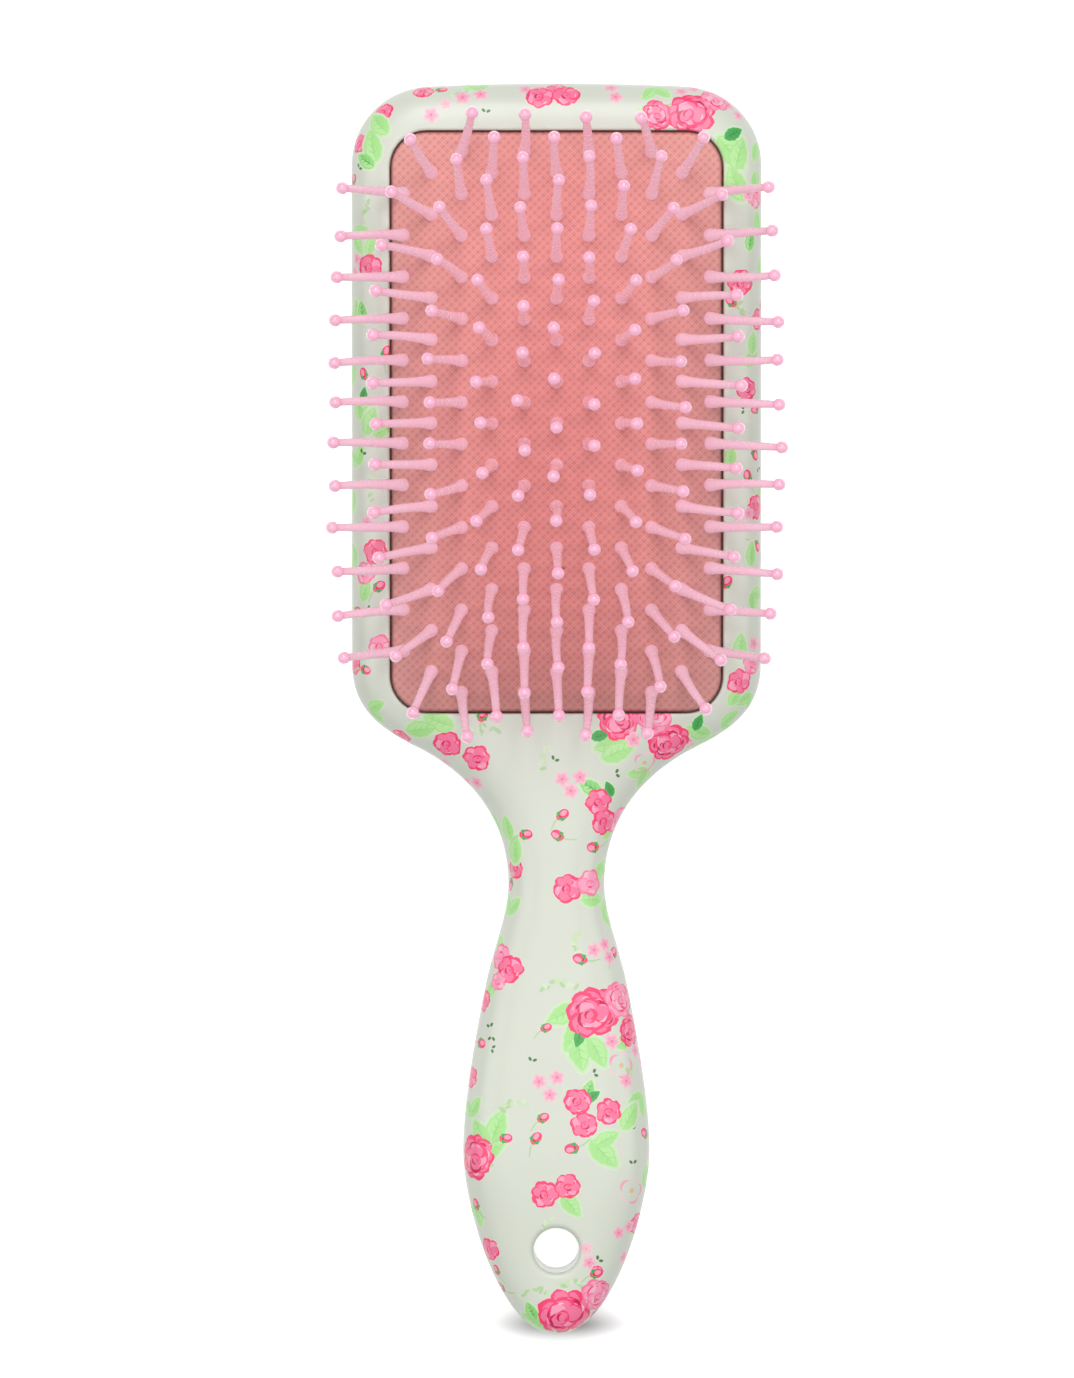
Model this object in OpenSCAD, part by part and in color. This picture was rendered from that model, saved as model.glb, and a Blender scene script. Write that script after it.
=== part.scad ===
// Paddle hairbrush with a pneumatic rubber cushion and ball-tipped pins.
// Lies on its back: +Z is the pin side, +Y the paddle end, -Y the handle end.
// All sizes are in millimetres.

/* [Body] */
// Overall length from the top of the paddle to the tip of the handle
body_length = 245; // [220:1:270]
// Width of the paddle
paddle_width = 80; // [76:1:90]
// Thickness of the paddle, back face to bezel face
paddle_thickness = 14; // [13:0.5:18]
// Wall thickness of both shells
wall = 2; // [1.6:0.1:2.4]
// Radius of the two top corners of the paddle
corner_r = 16; // [12:1:20]
// Narrowest width of the handle, at the neck
neck_width = 18.8; // [17:0.2:24]
// Widest width of the handle
grip_width = 36.6; // [30:0.2:40]
// Distance of the neck from the middle of the brush
neck_y = 34; // [30:1:40]
// Distance of the widest part of the handle from the middle of the brush
grip_y = 86; // [80:1:92]
// Depth of the rounded edge, measured inwards from the outline
edge_round = 7; // [4:0.5:8]
// Gap left at the seam between the two shells
seam_gap = 0.1; // [0.05:0.05:0.3]

/* [Hanging hole] */
// Diameter of the hole through the handle
hang_d = 9; // [6:0.5:11]
// Distance of the hole from the tip of the handle
hang_from_tip = 17; // [14:0.5:22]

/* [Window and cushion] */
// Width of the opening the cushion shows through
window_w = 65; // [60:0.5:68]
// Length of the opening
window_l = 113.6; // [105:0.2:118]
// Corner radius of the opening
window_r = 7.3; // [5:0.1:12]
// Distance of the centre of the opening from the middle of the brush
window_y = 56.6; // [50:0.1:62]
// Rubber thickness
rubber_t = 1.6; // [1.2:0.1:2]
// Height of the dome above the clamped flange
dome_h = 7.9; // [5:0.1:10]
// Steep rise of the rubber just inside the opening
edge_rise = 1.6; // [1:0.1:2.5]
// Width of the clamped flange beyond the opening
flange_w = 2.5; // [2:0.1:3]
// Diameter of the vent hole in the rubber
vent_d = 1.1; // [0.8:0.1:2]

/* [Pins] */
// Spacing of the pins along a column
pin_pitch = 8.1; // [7:0.1:9]
// Height of a pin, rubber surface to the centre of its ball
pin_h = 18; // [14:0.5:22]
// Diameter of the shank
shank_d = 1.6; // [1.2:0.1:2]
// Diameter of the ball
ball_d = 2.5; // [1.8:0.1:3]
// Diameter of the flare at the foot of a pin
flare_d = 2.6; // [2:0.1:3]
// Diameter of the head under the rubber
head_d = 2.8; // [2.4:0.1:3.4]
// Lean of the pins at the two ends of the cushion, in degrees
end_lean = 26.5; // [0:0.5:35]
// Largest random lean of a pin, in degrees
lean_scatter = 2.6; // [0:0.1:3]

/* [Hidden] */
$fn = 96;
half_l = body_length / 2;
half_w = paddle_width / 2;
half_neck = neck_width / 2;
half_grip = grip_width / 2;
part_z = paddle_thickness / 2;
front_z0 = part_z + seam_gap / 2;
back_z0 = part_z - seam_gap / 2;
tip_edge = edge_round - 2;

// Height of the front and back surfaces and depth of the rounded edge, at stations along the brush
front_stations = [[-half_l, paddle_thickness - 1.2], [-grip_y, paddle_thickness + 1.4],
                  [-neck_y, paddle_thickness - 0.4], [8, paddle_thickness]];
back_stations = [[-half_l, 1.6], [-grip_y, 0], [-neck_y, 0.8], [8, 0]];
edge_stations = [[-half_l, tip_edge], [-grip_y, edge_round]];

// Right side of the outline from the top centre to the tip: four control points and a step count each
side = [
    [[0, half_l], [10, half_l], [18, half_l - 0.2], [half_w - corner_r + 1, half_l - 0.55], 3],
    [[half_w - corner_r + 1, half_l - 0.55], [half_w - 6.6, half_l - 0.97],
     [half_w, half_l - 7.4], [half_w, half_l - corner_r], 8],
    [[half_w, half_l - corner_r], [half_w, 70], [half_w, 40], [half_w, 9], 2],
    [[half_w, 9], [half_w, -1], [half_w - 7.75, -4.5], [half_w - 13.5, -7.5], 7],
    [[half_w - 13.5, -7.5], [half_w - 23, -12.5], [half_neck, -21], [half_neck, -neck_y], 8],
    [[half_neck, -neck_y], [half_neck, -neck_y - 5.5], [half_neck + 2.9, -neck_y - 12.5],
     [half_neck + 4.2, -neck_y - 18.5], 5],
    [[half_neck + 4.2, -neck_y - 18.5], [half_neck + 6.3, -neck_y - 28.5],
     [half_grip, -grip_y + 9], [half_grip, -grip_y], 6],
    [[half_grip, -grip_y], [half_grip, -grip_y - 11], [11.2, -half_l], [0, -half_l], 11]
];

hang_y = -half_l + hang_from_tip;
boss_r = hang_d / 2 + 2.2;
peg_d = 2.2;
peg_play = 0.3;
peg_boss_d = 5.2;
peg_reach = 2.4;
boss_weld = 0.6;
// Bosses further out than this stand beside the rounded edge and are kept short
peg_edge_x = 18;
peg_edge_h = 3.2;
peg_spots = [[12, -7.5], [-12, -7.5], [0, -52], [0, -84], [20, half_l - 4.6], [-20, half_l - 4.6]];

clear = 0.25;
dome_a = window_w / 2 - clear;
dome_b = window_l / 2 - clear;
dome_r = window_r - clear;
lip_z = paddle_thickness - wall;
flange_top = lip_z - 0.05;
flange_bottom = flange_top - rubber_t;
dome_power = 3.46;
edge_zone = 0.035;
under_shift = 0.03;
flange_r = 12;
seat_play = 0.3;

carrier_top = flange_bottom - 0.05;
carrier_floor = 4;
carrier_plate = 1.2;
carrier_wall = 2.2;
carrier_out = flange_w - 0.1;
foot_d = 8;

vent_x = 1;
vent_y = -28.4;

// Distance of each column of pins from the centre line, lean outwards, and number of pins
columns = [[0, 0, 13], [6.3, 2, 14], [12.6, 7.5, 13], [18.5, 20, 14], [24.4, 37, 13], [29.9, 47.5, 12]];
section_y = 2.5 * pin_pitch - 1;
play = 0.12;
head_t = 0.8;
head_gap = 0.3;
foot_gap = 0.2;
flare_h = 2.6;
shank_top_d = shank_d - 0.2;

shell_color = "Ivory";
rubber_color = "Salmon";
carrier_color = "Linen";
pin_color = "Pink";

// ---- curves ----

function ease(t) = (1 - cos(180 * t)) / 2;

// Smooth value at y through stations listed from low y to high y
function along(stations, y, i = 0) =
    y <= stations[0][0] ? stations[0][1] :
    i == len(stations) - 1 ? stations[i][1] :
    y > stations[i + 1][0] ? along(stations, y, i + 1) :
    stations[i][1] + (stations[i + 1][1] - stations[i][1])
        * ease((y - stations[i][0]) / (stations[i + 1][0] - stations[i][0]));

function bezier(p, t) = pow(1 - t, 3) * p[0] + 3 * t * pow(1 - t, 2) * p[1]
    + 3 * t * t * (1 - t) * p[2] + pow(t, 3) * p[3];

function bezier_dir(p, t) = pow(1 - t, 2) * (p[1] - p[0]) + 2 * t * (1 - t) * (p[2] - p[1])
    + t * t * (p[3] - p[2]);

function left_of(v) = [-v[1], v[0]] / norm(v);

// Stations on the right side: [point, outward normal]
side_pts = concat(
    [for (p = side) for (k = [0 : p[4] - 1]) [bezier(p, k / p[4]), left_of(bezier_dir(p, k / p[4]))]],
    [[[0, -half_l], [0, -1]]]
);
last = len(side_pts) - 1;

// One closed loop of the outline moved inwards by a share of the edge depth, at a share of the height
function body_loop(inset, turn, surface, drop, lift) =
    let (right = [for (s = side_pts)
        let (y = s[0][1], deep = along(edge_stations, y) - inset,
             p = s[0] - s[1] * (inset + deep * (1 - cos(turn))),
             z1 = along(surface, y) - drop)
        [p[0], p[1], part_z + lift + (z1 - part_z - lift) * sin(turn)]])
    concat(right, [for (k = [last - 1 : -1 : 1]) [-right[k][0], right[k][1], right[k][2]]]);

function flip(faces, on) = on ? [for (f = faces) [for (k = [len(f) - 1 : -1 : 0]) f[k]]] : faces;

// Strips from the right side to the left side that close one loop
function cap_faces(base) = let (n = 2 * last) concat(
    [[base, base + 1, base + n - 1]],
    [for (k = [1 : last - 2]) [base + k, base + k + 1, base + n - k - 1, base + n - k]],
    [[base + last - 1, base + last, base + last + 1]]
);

function wall_faces(n, rings) = [for (r = [0 : rings - 2]) for (k = [0 : n - 1])
    let (a = r * n + k, b = r * n + (k + 1) % n, c = (r + 1) * n + (k + 1) % n, d = (r + 1) * n + k)
    each [[a, b, c], [a, c, d]]];

// A stack of loops, closed at both ends
module half_body(inset, drop, surface, lift, turns, start, front) {
    loops = concat(
        start == 0 ? [] : [[for (p = body_loop(inset, 0, surface, drop, lift)) p + [0, 0, start]]],
        [for (t = turns) body_loop(inset, t, surface, drop, lift)]
    );
    n = 2 * last;
    top = (len(loops) - 1) * n;
    polyhedron(
        points = [for (l = loops) each l],
        faces = flip(concat(wall_faces(n, len(loops)), flip(cap_faces(0), true), cap_faces(top)), !front)
    );
}

module rounded_plate(w, l, r, h) {
    translate([-w / 2, -l / 2 + r, 0])
        cube([w, l - 2 * r, h]);
    translate([-w / 2 + r, -l / 2, 0])
        cube([w - 2 * r, l, h]);
    for (sx = [-1, 1], sy = [-1, 1])
        translate([sx * (w / 2 - r), sy * (l / 2 - r), 0])
            cylinder(r = r, h = h);
}

// ---- shells ----

// Height of a locating boss, from the seam into the wall it stands on
function peg_boss_h(s, to_wall) = abs(s[0]) > peg_edge_x ? peg_edge_h : to_wall + boss_weld;

module front_shell() {
    color(shell_color)
    difference() {
        union() {
            difference() {
                half_body(0, 0, front_stations, seam_gap / 2, [0, 18, 36, 54, 72, 90], 0, true);
                half_body(wall, wall, front_stations, seam_gap / 2, [0, 30, 60, 90], -1, true);
            }
            translate([0, hang_y, front_z0])
                cylinder(r = boss_r, h = paddle_thickness - 1 - front_z0);
            for (s = peg_spots) {
                h = peg_boss_h(s, along(front_stations, s[1]) - wall - front_z0);
                translate([s[0], s[1], front_z0])
                    cylinder(d = peg_boss_d, h = h);
            }
        }
        translate([0, window_y, lip_z - 1])
            rounded_plate(window_w, window_l, window_r, wall + 2);
        translate([0, window_y, part_z - 1])
            rounded_plate(window_w + 2 * (flange_w + seat_play), window_l + 2 * (flange_w + seat_play),
                flange_r + seat_play, lip_z - part_z + 1);
        translate([0, hang_y, -1])
            cylinder(d = hang_d, h = paddle_thickness + 6);
        for (s = peg_spots)
            translate([s[0], s[1], part_z - 1])
                cylinder(d = peg_d + peg_play, h = peg_reach + 1.4);
    }
}

module back_shell() {
    color(shell_color)
    difference() {
        union() {
            difference() {
                half_body(0, 0, back_stations, -seam_gap / 2, [0, 18, 36, 54, 72, 90], 0, false);
                half_body(wall, -wall, back_stations, -seam_gap / 2, [0, 30, 60, 90], 1, false);
            }
            translate([0, hang_y, 1])
                cylinder(r = boss_r, h = back_z0 - 1);
            for (s = peg_spots) {
                h = peg_boss_h(s, back_z0 - along(back_stations, s[1]) - wall);
                translate([s[0], s[1], back_z0 - h])
                    cylinder(d = peg_boss_d, h = h);
                translate([s[0], s[1], part_z - 1])
                    cylinder(d = peg_d, h = peg_reach + 1);
            }
        }
        translate([0, hang_y, -1])
            cylinder(d = hang_d, h = paddle_thickness + 6);
    }
}

// ---- cushion carrier: the tray that closes the air chamber and clamps the rubber ----

module cushion_carrier() {
    w = window_w + 2 * carrier_out;
    l = window_l + 2 * carrier_out;
    color(carrier_color)
    translate([0, window_y, 0]) {
        difference() {
            translate([0, 0, carrier_floor])
                rounded_plate(w, l, flange_r, carrier_top - carrier_floor);
            translate([0, 0, carrier_floor + carrier_plate])
                rounded_plate(w - 2 * carrier_wall, l - 2 * carrier_wall, flange_r - carrier_wall,
                    carrier_top);
        }
        for (sx = [-1, 1], y = [-40, 0, 40])
            translate([sx * 22, y, wall + 0.05])
                cylinder(d = foot_d, h = carrier_floor - wall);
    }
}

// ---- rubber cushion ----

function dome_z(x, y) = dome_h * (1 - pow(min(1, abs(x) / dome_a), dome_power))
    * (1 - pow(min(1, abs(y) / dome_b), 2));

function dome_slope(x, y) = [
    -dome_h * dome_power * sign(x) * pow(abs(x) / dome_a, dome_power - 1) / dome_a
        * (1 - pow(y / dome_b, 2)),
    -dome_h * (1 - pow(abs(x) / dome_a, dome_power)) * 2 * y / pow(dome_b, 2)];

function edge_lift(s) = edge_rise * (1 - pow(1 - min(1, max(0, 1 - s) / edge_zone), 2));

function rubber_top(x, y, s) = flange_top + edge_lift(s) + dome_z(x, y);

function rubber_under(x, y, s) = flange_top + edge_lift(min(1, s + under_shift)) + dome_z(x, y)
    - rubber_t * sqrt(1 + pow(norm(dome_slope(x, y)), 2) * min(1, (1 - s) / edge_zone));

// Clockwise loop round a rectangle with rounded corners, evenly divided sides
function plan_loop(a, b, r) = concat(
    [for (k = [0 : 7]) [-(a - r) + 2 * (a - r) * k / 8, b]],
    [for (k = [0 : 3]) [a - r + r * sin(22.5 * k), b - r + r * cos(22.5 * k)]],
    [for (k = [0 : 11]) [a, b - r - 2 * (b - r) * k / 12]],
    [for (k = [0 : 3]) [a - r + r * cos(22.5 * k), -(b - r) - r * sin(22.5 * k)]],
    [for (k = [0 : 7]) [a - r - 2 * (a - r) * k / 8, -b]],
    [for (k = [0 : 3]) [-(a - r) - r * sin(22.5 * k), -(b - r) - r * cos(22.5 * k)]],
    [for (k = [0 : 11]) [-a, -(b - r) + 2 * (b - r) * k / 12]],
    [for (k = [0 : 3]) [-(a - r) - r * cos(22.5 * k), b - r + r * sin(22.5 * k)]]
);

top_rings = [0.14, 0.28, 0.42, 0.55, 0.66, 0.75, 0.83, 0.9, 0.965, 0.977, 0.988, 1];
under_rings = [1, 0.97, 0.958, 0.947, 0.935, 0.9, 0.83, 0.75, 0.66, 0.55, 0.42, 0.28, 0.14];

module rubber_skin() {
    inner = plan_loop(dome_a, dome_b, dome_r);
    outer = plan_loop(window_w / 2 + flange_w, window_l / 2 + flange_w, flange_r);
    n = len(inner);
    loops = concat(
        [for (s = top_rings) [for (p = inner) [s * p[0], s * p[1], rubber_top(s * p[0], s * p[1], s)]]],
        [[for (p = outer) [p[0], p[1], flange_top]]],
        [[for (p = outer) [p[0], p[1], flange_bottom]]],
        [for (s = under_rings) [for (p = inner) [s * p[0], s * p[1], rubber_under(s * p[0], s * p[1], s)]]]
    );
    total = n * len(loops);
    polyhedron(
        points = concat(
            [for (l = loops) each l],
            [[0, 0, rubber_top(0, 0, 0)], [0, 0, rubber_under(0, 0, 0)]]
        ),
        faces = concat(
            flip(wall_faces(n, len(loops)), true),
            [for (k = [0 : n - 1]) [k, (k + 1) % n, total]],
            [for (k = [0 : n - 1]) [total - n + (k + 1) % n, total - n + k, total + 1]]
        )
    );
}

module cushion() {
    color(rubber_color)
    translate([0, window_y, 0])
    difference() {
        rubber_skin();
        for (c = [-5 : 5])
            for (k = [0 : columns[abs(c)][2] - 1])
                place_pin(c, k)
                    translate([0, 0, -6])
                        cylinder(d = shank_d + 2 * play, h = 9, $fn = 24);
        translate([vent_x, vent_y, flange_top])
            cylinder(d = vent_d, h = 2 * dome_h, $fn = 24);
    }
}

// ---- pins ----

function scatter(c, k) = rands(-lean_scatter, lean_scatter, 2, 400 + 20 * c + k);

function pin_x(c) = sign(c) * columns[abs(c)][0];

function pin_y(c, k) = (k - (columns[abs(c)][2] - 1) / 2) * pin_pitch;

// Lean across the brush fades, and near the middle line turns inwards, towards the ends
function lean_across(c, y) =
    let (side_share = columns[abs(c)][0] / dome_a)
    sign(c) * columns[abs(c)][1] * (1 - (3.4 - 3.2 * side_share) * pow(abs(y) / dome_b, 3));

// Lean along the brush grows towards the ends and all but vanishes in the outermost columns
function lean_along(x, y) =
    let (side_share = abs(x) / dome_a, end_share = abs(y) / (6 * pin_pitch))
    sign(y) * end_lean * (1 - 2.1 * pow(side_share, 12))
        * pow(end_share, 1 + 2.2 * pow(side_share, 2)) * (1 - 0.12 * pow(end_share, 8));

// Direction of one pin, as a unit vector
function pin_dir(c, k) =
    let (j = scatter(c, k), y = pin_y(c, k),
         v = [tan(lean_across(c, y) + j[0]), tan(lean_along(pin_x(c), y) + j[1]), 1])
    v / norm(v);

function surface_normal(x, y) = let (g = dome_slope(x, y), v = [-g[0], -g[1], 1]) v / norm(v);

// Angle between a pin and the rubber's own normal
function pin_skew(c, k) = acos(min(1, pin_dir(c, k) * surface_normal(pin_x(c), pin_y(c, k))));

module place_pin(c, k) {
    x = pin_x(c);
    y = pin_y(c, k);
    u = pin_dir(c, k);
    translate([x, y, rubber_top(x, y, 0)])
        rotate([0, acos(u[2]), atan2(u[1], u[0])])
            children();
}

// One pin along +Z with the rubber surface at Z = 0
module pin(skew) {
    foot = foot_gap + flare_d / 2 * tan(skew);
    deep = rubber_t / cos(skew) + head_gap + head_d / 2 * tan(skew);
    neck = pin_h - 0.6;
    rotate_extrude($fn = 32)
        polygon([
            [0, -deep - head_t],
            [head_d / 2 - 0.2, -deep - head_t],
            [head_d / 2, -deep - head_t + 0.2],
            [head_d / 2, -deep],
            [shank_d / 2, -deep],
            [shank_d / 2, foot],
            [flare_d / 2, foot],
            [flare_d / 2 - 0.05, foot + 0.4],
            [shank_d / 2 + 0.14, foot + 1.3],
            [shank_d / 2, foot + flare_h],
            [shank_top_d / 2, neck],
            [0, neck]
        ]);
    translate([0, 0, pin_h])
        sphere(d = ball_d, $fn = 32);
}

// The pins of one column that stand in one section: 1 top, 0 middle, -1 bottom
module pin_group(c, section) {
    color(pin_color)
    translate([0, window_y, 0])
        for (k = [0 : columns[abs(c)][2] - 1]) {
            y = pin_y(c, k);
            if ((y > section_y ? 1 : y < -section_y ? -1 : 0) == section)
                place_pin(c, k)
                    pin(pin_skew(c, k));
        }
}

module pins_left_5_top() pin_group(-5, 1);
module pins_left_5_middle() pin_group(-5, 0);
module pins_left_5_bottom() pin_group(-5, -1);
module pins_left_4_top() pin_group(-4, 1);
module pins_left_4_middle() pin_group(-4, 0);
module pins_left_4_bottom() pin_group(-4, -1);
module pins_left_3_top() pin_group(-3, 1);
module pins_left_3_middle() pin_group(-3, 0);
module pins_left_3_bottom() pin_group(-3, -1);
module pins_left_2_top() pin_group(-2, 1);
module pins_left_2_middle() pin_group(-2, 0);
module pins_left_2_bottom() pin_group(-2, -1);
module pins_left_1_top() pin_group(-1, 1);
module pins_left_1_middle() pin_group(-1, 0);
module pins_left_1_bottom() pin_group(-1, -1);
module pins_centre_top() pin_group(0, 1);
module pins_centre_middle() pin_group(0, 0);
module pins_centre_bottom() pin_group(0, -1);
module pins_right_1_top() pin_group(1, 1);
module pins_right_1_middle() pin_group(1, 0);
module pins_right_1_bottom() pin_group(1, -1);
module pins_right_2_top() pin_group(2, 1);
module pins_right_2_middle() pin_group(2, 0);
module pins_right_2_bottom() pin_group(2, -1);
module pins_right_3_top() pin_group(3, 1);
module pins_right_3_middle() pin_group(3, 0);
module pins_right_3_bottom() pin_group(3, -1);
module pins_right_4_top() pin_group(4, 1);
module pins_right_4_middle() pin_group(4, 0);
module pins_right_4_bottom() pin_group(4, -1);
module pins_right_5_top() pin_group(5, 1);
module pins_right_5_middle() pin_group(5, 0);
module pins_right_5_bottom() pin_group(5, -1);

front_shell();
back_shell();
cushion_carrier();
cushion();
pins_left_5_top();
pins_left_5_middle();
pins_left_5_bottom();
pins_left_4_top();
pins_left_4_middle();
pins_left_4_bottom();
pins_left_3_top();
pins_left_3_middle();
pins_left_3_bottom();
pins_left_2_top();
pins_left_2_middle();
pins_left_2_bottom();
pins_left_1_top();
pins_left_1_middle();
pins_left_1_bottom();
pins_centre_top();
pins_centre_middle();
pins_centre_bottom();
pins_right_1_top();
pins_right_1_middle();
pins_right_1_bottom();
pins_right_2_top();
pins_right_2_middle();
pins_right_2_bottom();
pins_right_3_top();
pins_right_3_middle();
pins_right_3_bottom();
pins_right_4_top();
pins_right_4_middle();
pins_right_4_bottom();
pins_right_5_top();
pins_right_5_middle();
pins_right_5_bottom();
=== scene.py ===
import random
from math import cos, hypot, pi, radians, sin

import bpy
import numpy as np
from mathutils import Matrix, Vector
from mathutils.bvhtree import BVHTree
from mathutils.geometry import delaunay_2d_cdt
from mathutils.kdtree import KDTree


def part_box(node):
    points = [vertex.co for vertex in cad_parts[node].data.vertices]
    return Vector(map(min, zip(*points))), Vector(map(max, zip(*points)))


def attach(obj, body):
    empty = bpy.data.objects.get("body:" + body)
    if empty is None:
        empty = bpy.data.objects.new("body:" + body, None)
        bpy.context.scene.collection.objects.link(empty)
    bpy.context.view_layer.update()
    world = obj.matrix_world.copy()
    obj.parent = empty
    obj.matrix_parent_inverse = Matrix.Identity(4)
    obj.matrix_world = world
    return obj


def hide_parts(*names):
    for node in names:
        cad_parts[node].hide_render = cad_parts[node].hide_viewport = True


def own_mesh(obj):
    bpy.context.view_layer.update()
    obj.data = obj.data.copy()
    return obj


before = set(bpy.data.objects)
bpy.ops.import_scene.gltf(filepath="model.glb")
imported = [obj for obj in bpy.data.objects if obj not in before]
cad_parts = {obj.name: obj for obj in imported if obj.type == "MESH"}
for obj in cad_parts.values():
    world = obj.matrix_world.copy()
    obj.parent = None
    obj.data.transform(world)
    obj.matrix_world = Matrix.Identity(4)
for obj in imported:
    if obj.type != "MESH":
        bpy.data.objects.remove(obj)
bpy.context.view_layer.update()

MM = 0.001
HALF_PI = pi / 2
TURN = 2 * pi


def mm_box(node):
    """Lowest and highest corner of a CAD node in mm."""
    lo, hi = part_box(node)
    return np.array(lo, float) / MM, np.array(hi, float) / MM


# ---- sizes in mm, the main ones from the frame

front_lo, front_hi = mm_box("front_shell")
HALF_L = float(front_hi[1] - front_lo[1]) / 2
HALF_W = float(front_hi[0] - front_lo[0]) / 2
SEAM_FRONT = float(front_lo[2])
SEAM_GAP = 0.1
SEAM_BACK = SEAM_FRONT - SEAM_GAP
PADDLE_T = 14.0
HALF_NECK = 9.4
HALF_GRIP = 18.3
NECK_Y = 34.0
GRIP_Y = 86.0
HANG_Y = -HALF_L + 17.0
HANG_R = 4.5
WINDOW_W = 65.0
WINDOW_L = 113.6
WINDOW_R = 7.3
WINDOW_Y = 56.6
WALL = 2.0
OUTLINE_STEP = 0.2
BEZIER_STEPS = 400
RIM_STRIDE = 6
RATE_SPAN = 0.05
HOLE_POINTS = 72
WINDOW_STEP = 0.9
SMALLEST_R = 0.4
GRID_STEP = 2.4
GRID_MARGIN = 6
GRID_HALF_W = 34.0
# the rolled rim's straight end in the hanging hole, and where along it the hole's own wall starts
HOLE_TAIL = 0.8
HOLE_LAP = 0.4
BORDER_SLACK = 0.012
SEAM_LIP = 0.5

# heights of the two faces and depth of the rounded edge, at stations along the brush
FRONT_Z = [(-HALF_L, PADDLE_T - 1.2), (-GRIP_Y, PADDLE_T + 1.4), (-NECK_Y, PADDLE_T - 0.4), (8, PADDLE_T)]
BACK_Z = [(-HALF_L, 1.6), (-GRIP_Y, 0.0), (-NECK_Y, 0.8), (8, 0.0)]
EDGE_R = [(-HALF_L, 5.0), (-GRIP_Y, 7.0)]

# right side of the outline from the top centre to the tip, four control points a piece
SIDE = [
    [(0, HALF_L), (10, HALF_L), (18, HALF_L - 0.2), (HALF_W - 15, HALF_L - 0.55)],
    [(HALF_W - 15, HALF_L - 0.55), (HALF_W - 6.6, HALF_L - 0.97),
     (HALF_W, HALF_L - 7.4), (HALF_W, HALF_L - 16)],
    [(HALF_W, HALF_L - 16), (HALF_W, 70), (HALF_W, 40), (HALF_W, 9)],
    [(HALF_W, 9), (HALF_W, -1), (HALF_W - 7.75, -4.5), (HALF_W - 13.5, -7.5)],
    [(HALF_W - 13.5, -7.5), (HALF_W - 23, -12.5), (HALF_NECK, -21), (HALF_NECK, -NECK_Y)],
    [(HALF_NECK, -NECK_Y), (HALF_NECK, -NECK_Y - 5.5),
     (HALF_NECK + 2.9, -NECK_Y - 12.5), (HALF_NECK + 4.2, -NECK_Y - 18.5)],
    [(HALF_NECK + 4.2, -NECK_Y - 18.5), (HALF_NECK + 6.3, -NECK_Y - 28.5),
     (HALF_GRIP, -GRIP_Y + 9), (HALF_GRIP, -GRIP_Y)],
    [(HALF_GRIP, -GRIP_Y), (HALF_GRIP, -GRIP_Y - 11), (11.2, -HALF_L), (0, -HALF_L)],
]


def along(stations, y):
    """Smooth value at y through stations listed from low y to high y."""
    y = np.asarray(y, float)
    out = np.full(y.shape, stations[-1][1], float)
    out[y <= stations[0][0]] = stations[0][1]
    for (y0, v0), (y1, v1) in zip(stations[:-1], stations[1:]):
        m = (y > y0) & (y <= y1)
        t = (y[m] - y0) / (y1 - y0)
        out[m] = v0 + (v1 - v0) * (1 - np.cos(pi * t)) / 2
    return out


def along_rate(stations, y):
    """Slope of the value that along() gives."""
    y = np.asarray(y, float)
    return (along(stations, y + RATE_SPAN) - along(stations, y - RATE_SPAN)) / (2 * RATE_SPAN)


def outline():
    """Evenly spaced points, outward normals and travel directions, clockwise from the top centre."""
    pts = []
    for piece in SIDE:
        p = np.array(piece, float)
        t = np.linspace(0, 1, BEZIER_STEPS, endpoint=False)[:, None]
        pts.append((1 - t) ** 3 * p[0] + 3 * t * (1 - t) ** 2 * p[1]
                   + 3 * t ** 2 * (1 - t) * p[2] + t ** 3 * p[3])
    right = np.vstack(pts + [np.array([[0.0, -HALF_L]])])
    left = right[-2:0:-1] * np.array([-1.0, 1.0])
    loop = np.vstack([right, left])
    seg = np.linalg.norm(np.diff(np.vstack([loop, loop[:1]]), axis=0), axis=1)
    s = np.concatenate([[0], np.cumsum(seg)])
    n = int(round(s[-1] / OUTLINE_STEP / 2)) * 2
    want = np.arange(n) * s[-1] / n
    closed = np.vstack([loop, loop[:1]])
    p = np.stack([np.interp(want, s, closed[:, 0]), np.interp(want, s, closed[:, 1])], 1)
    d = np.roll(p, -1, 0) - np.roll(p, 1, 0)
    d /= np.linalg.norm(d, axis=1)[:, None]
    return p, np.stack([-d[:, 1], d[:, 0]], 1), d


def rect_sdf(x, y, a, b, r):
    """Distance to a rectangle with rounded corners, positive outside, and its outward direction."""
    qx, qy = np.abs(x) - (a - r), np.abs(y) - (b - r)
    ox, oy = np.maximum(qx, 0), np.maximum(qy, 0)
    far = np.hypot(ox, oy)
    d = far + np.minimum(np.maximum(qx, qy), 0) - r
    sx, sy = np.where(x < 0, -1.0, 1.0), np.where(y < 0, -1.0, 1.0)
    corner = far > 1e-9
    gx = np.where(corner, ox / np.maximum(far, 1e-9), (qx > qy).astype(float)) * sx
    gy = np.where(corner, oy / np.maximum(far, 1e-9), (qx <= qy).astype(float)) * sy
    return d, gx, gy


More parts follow.
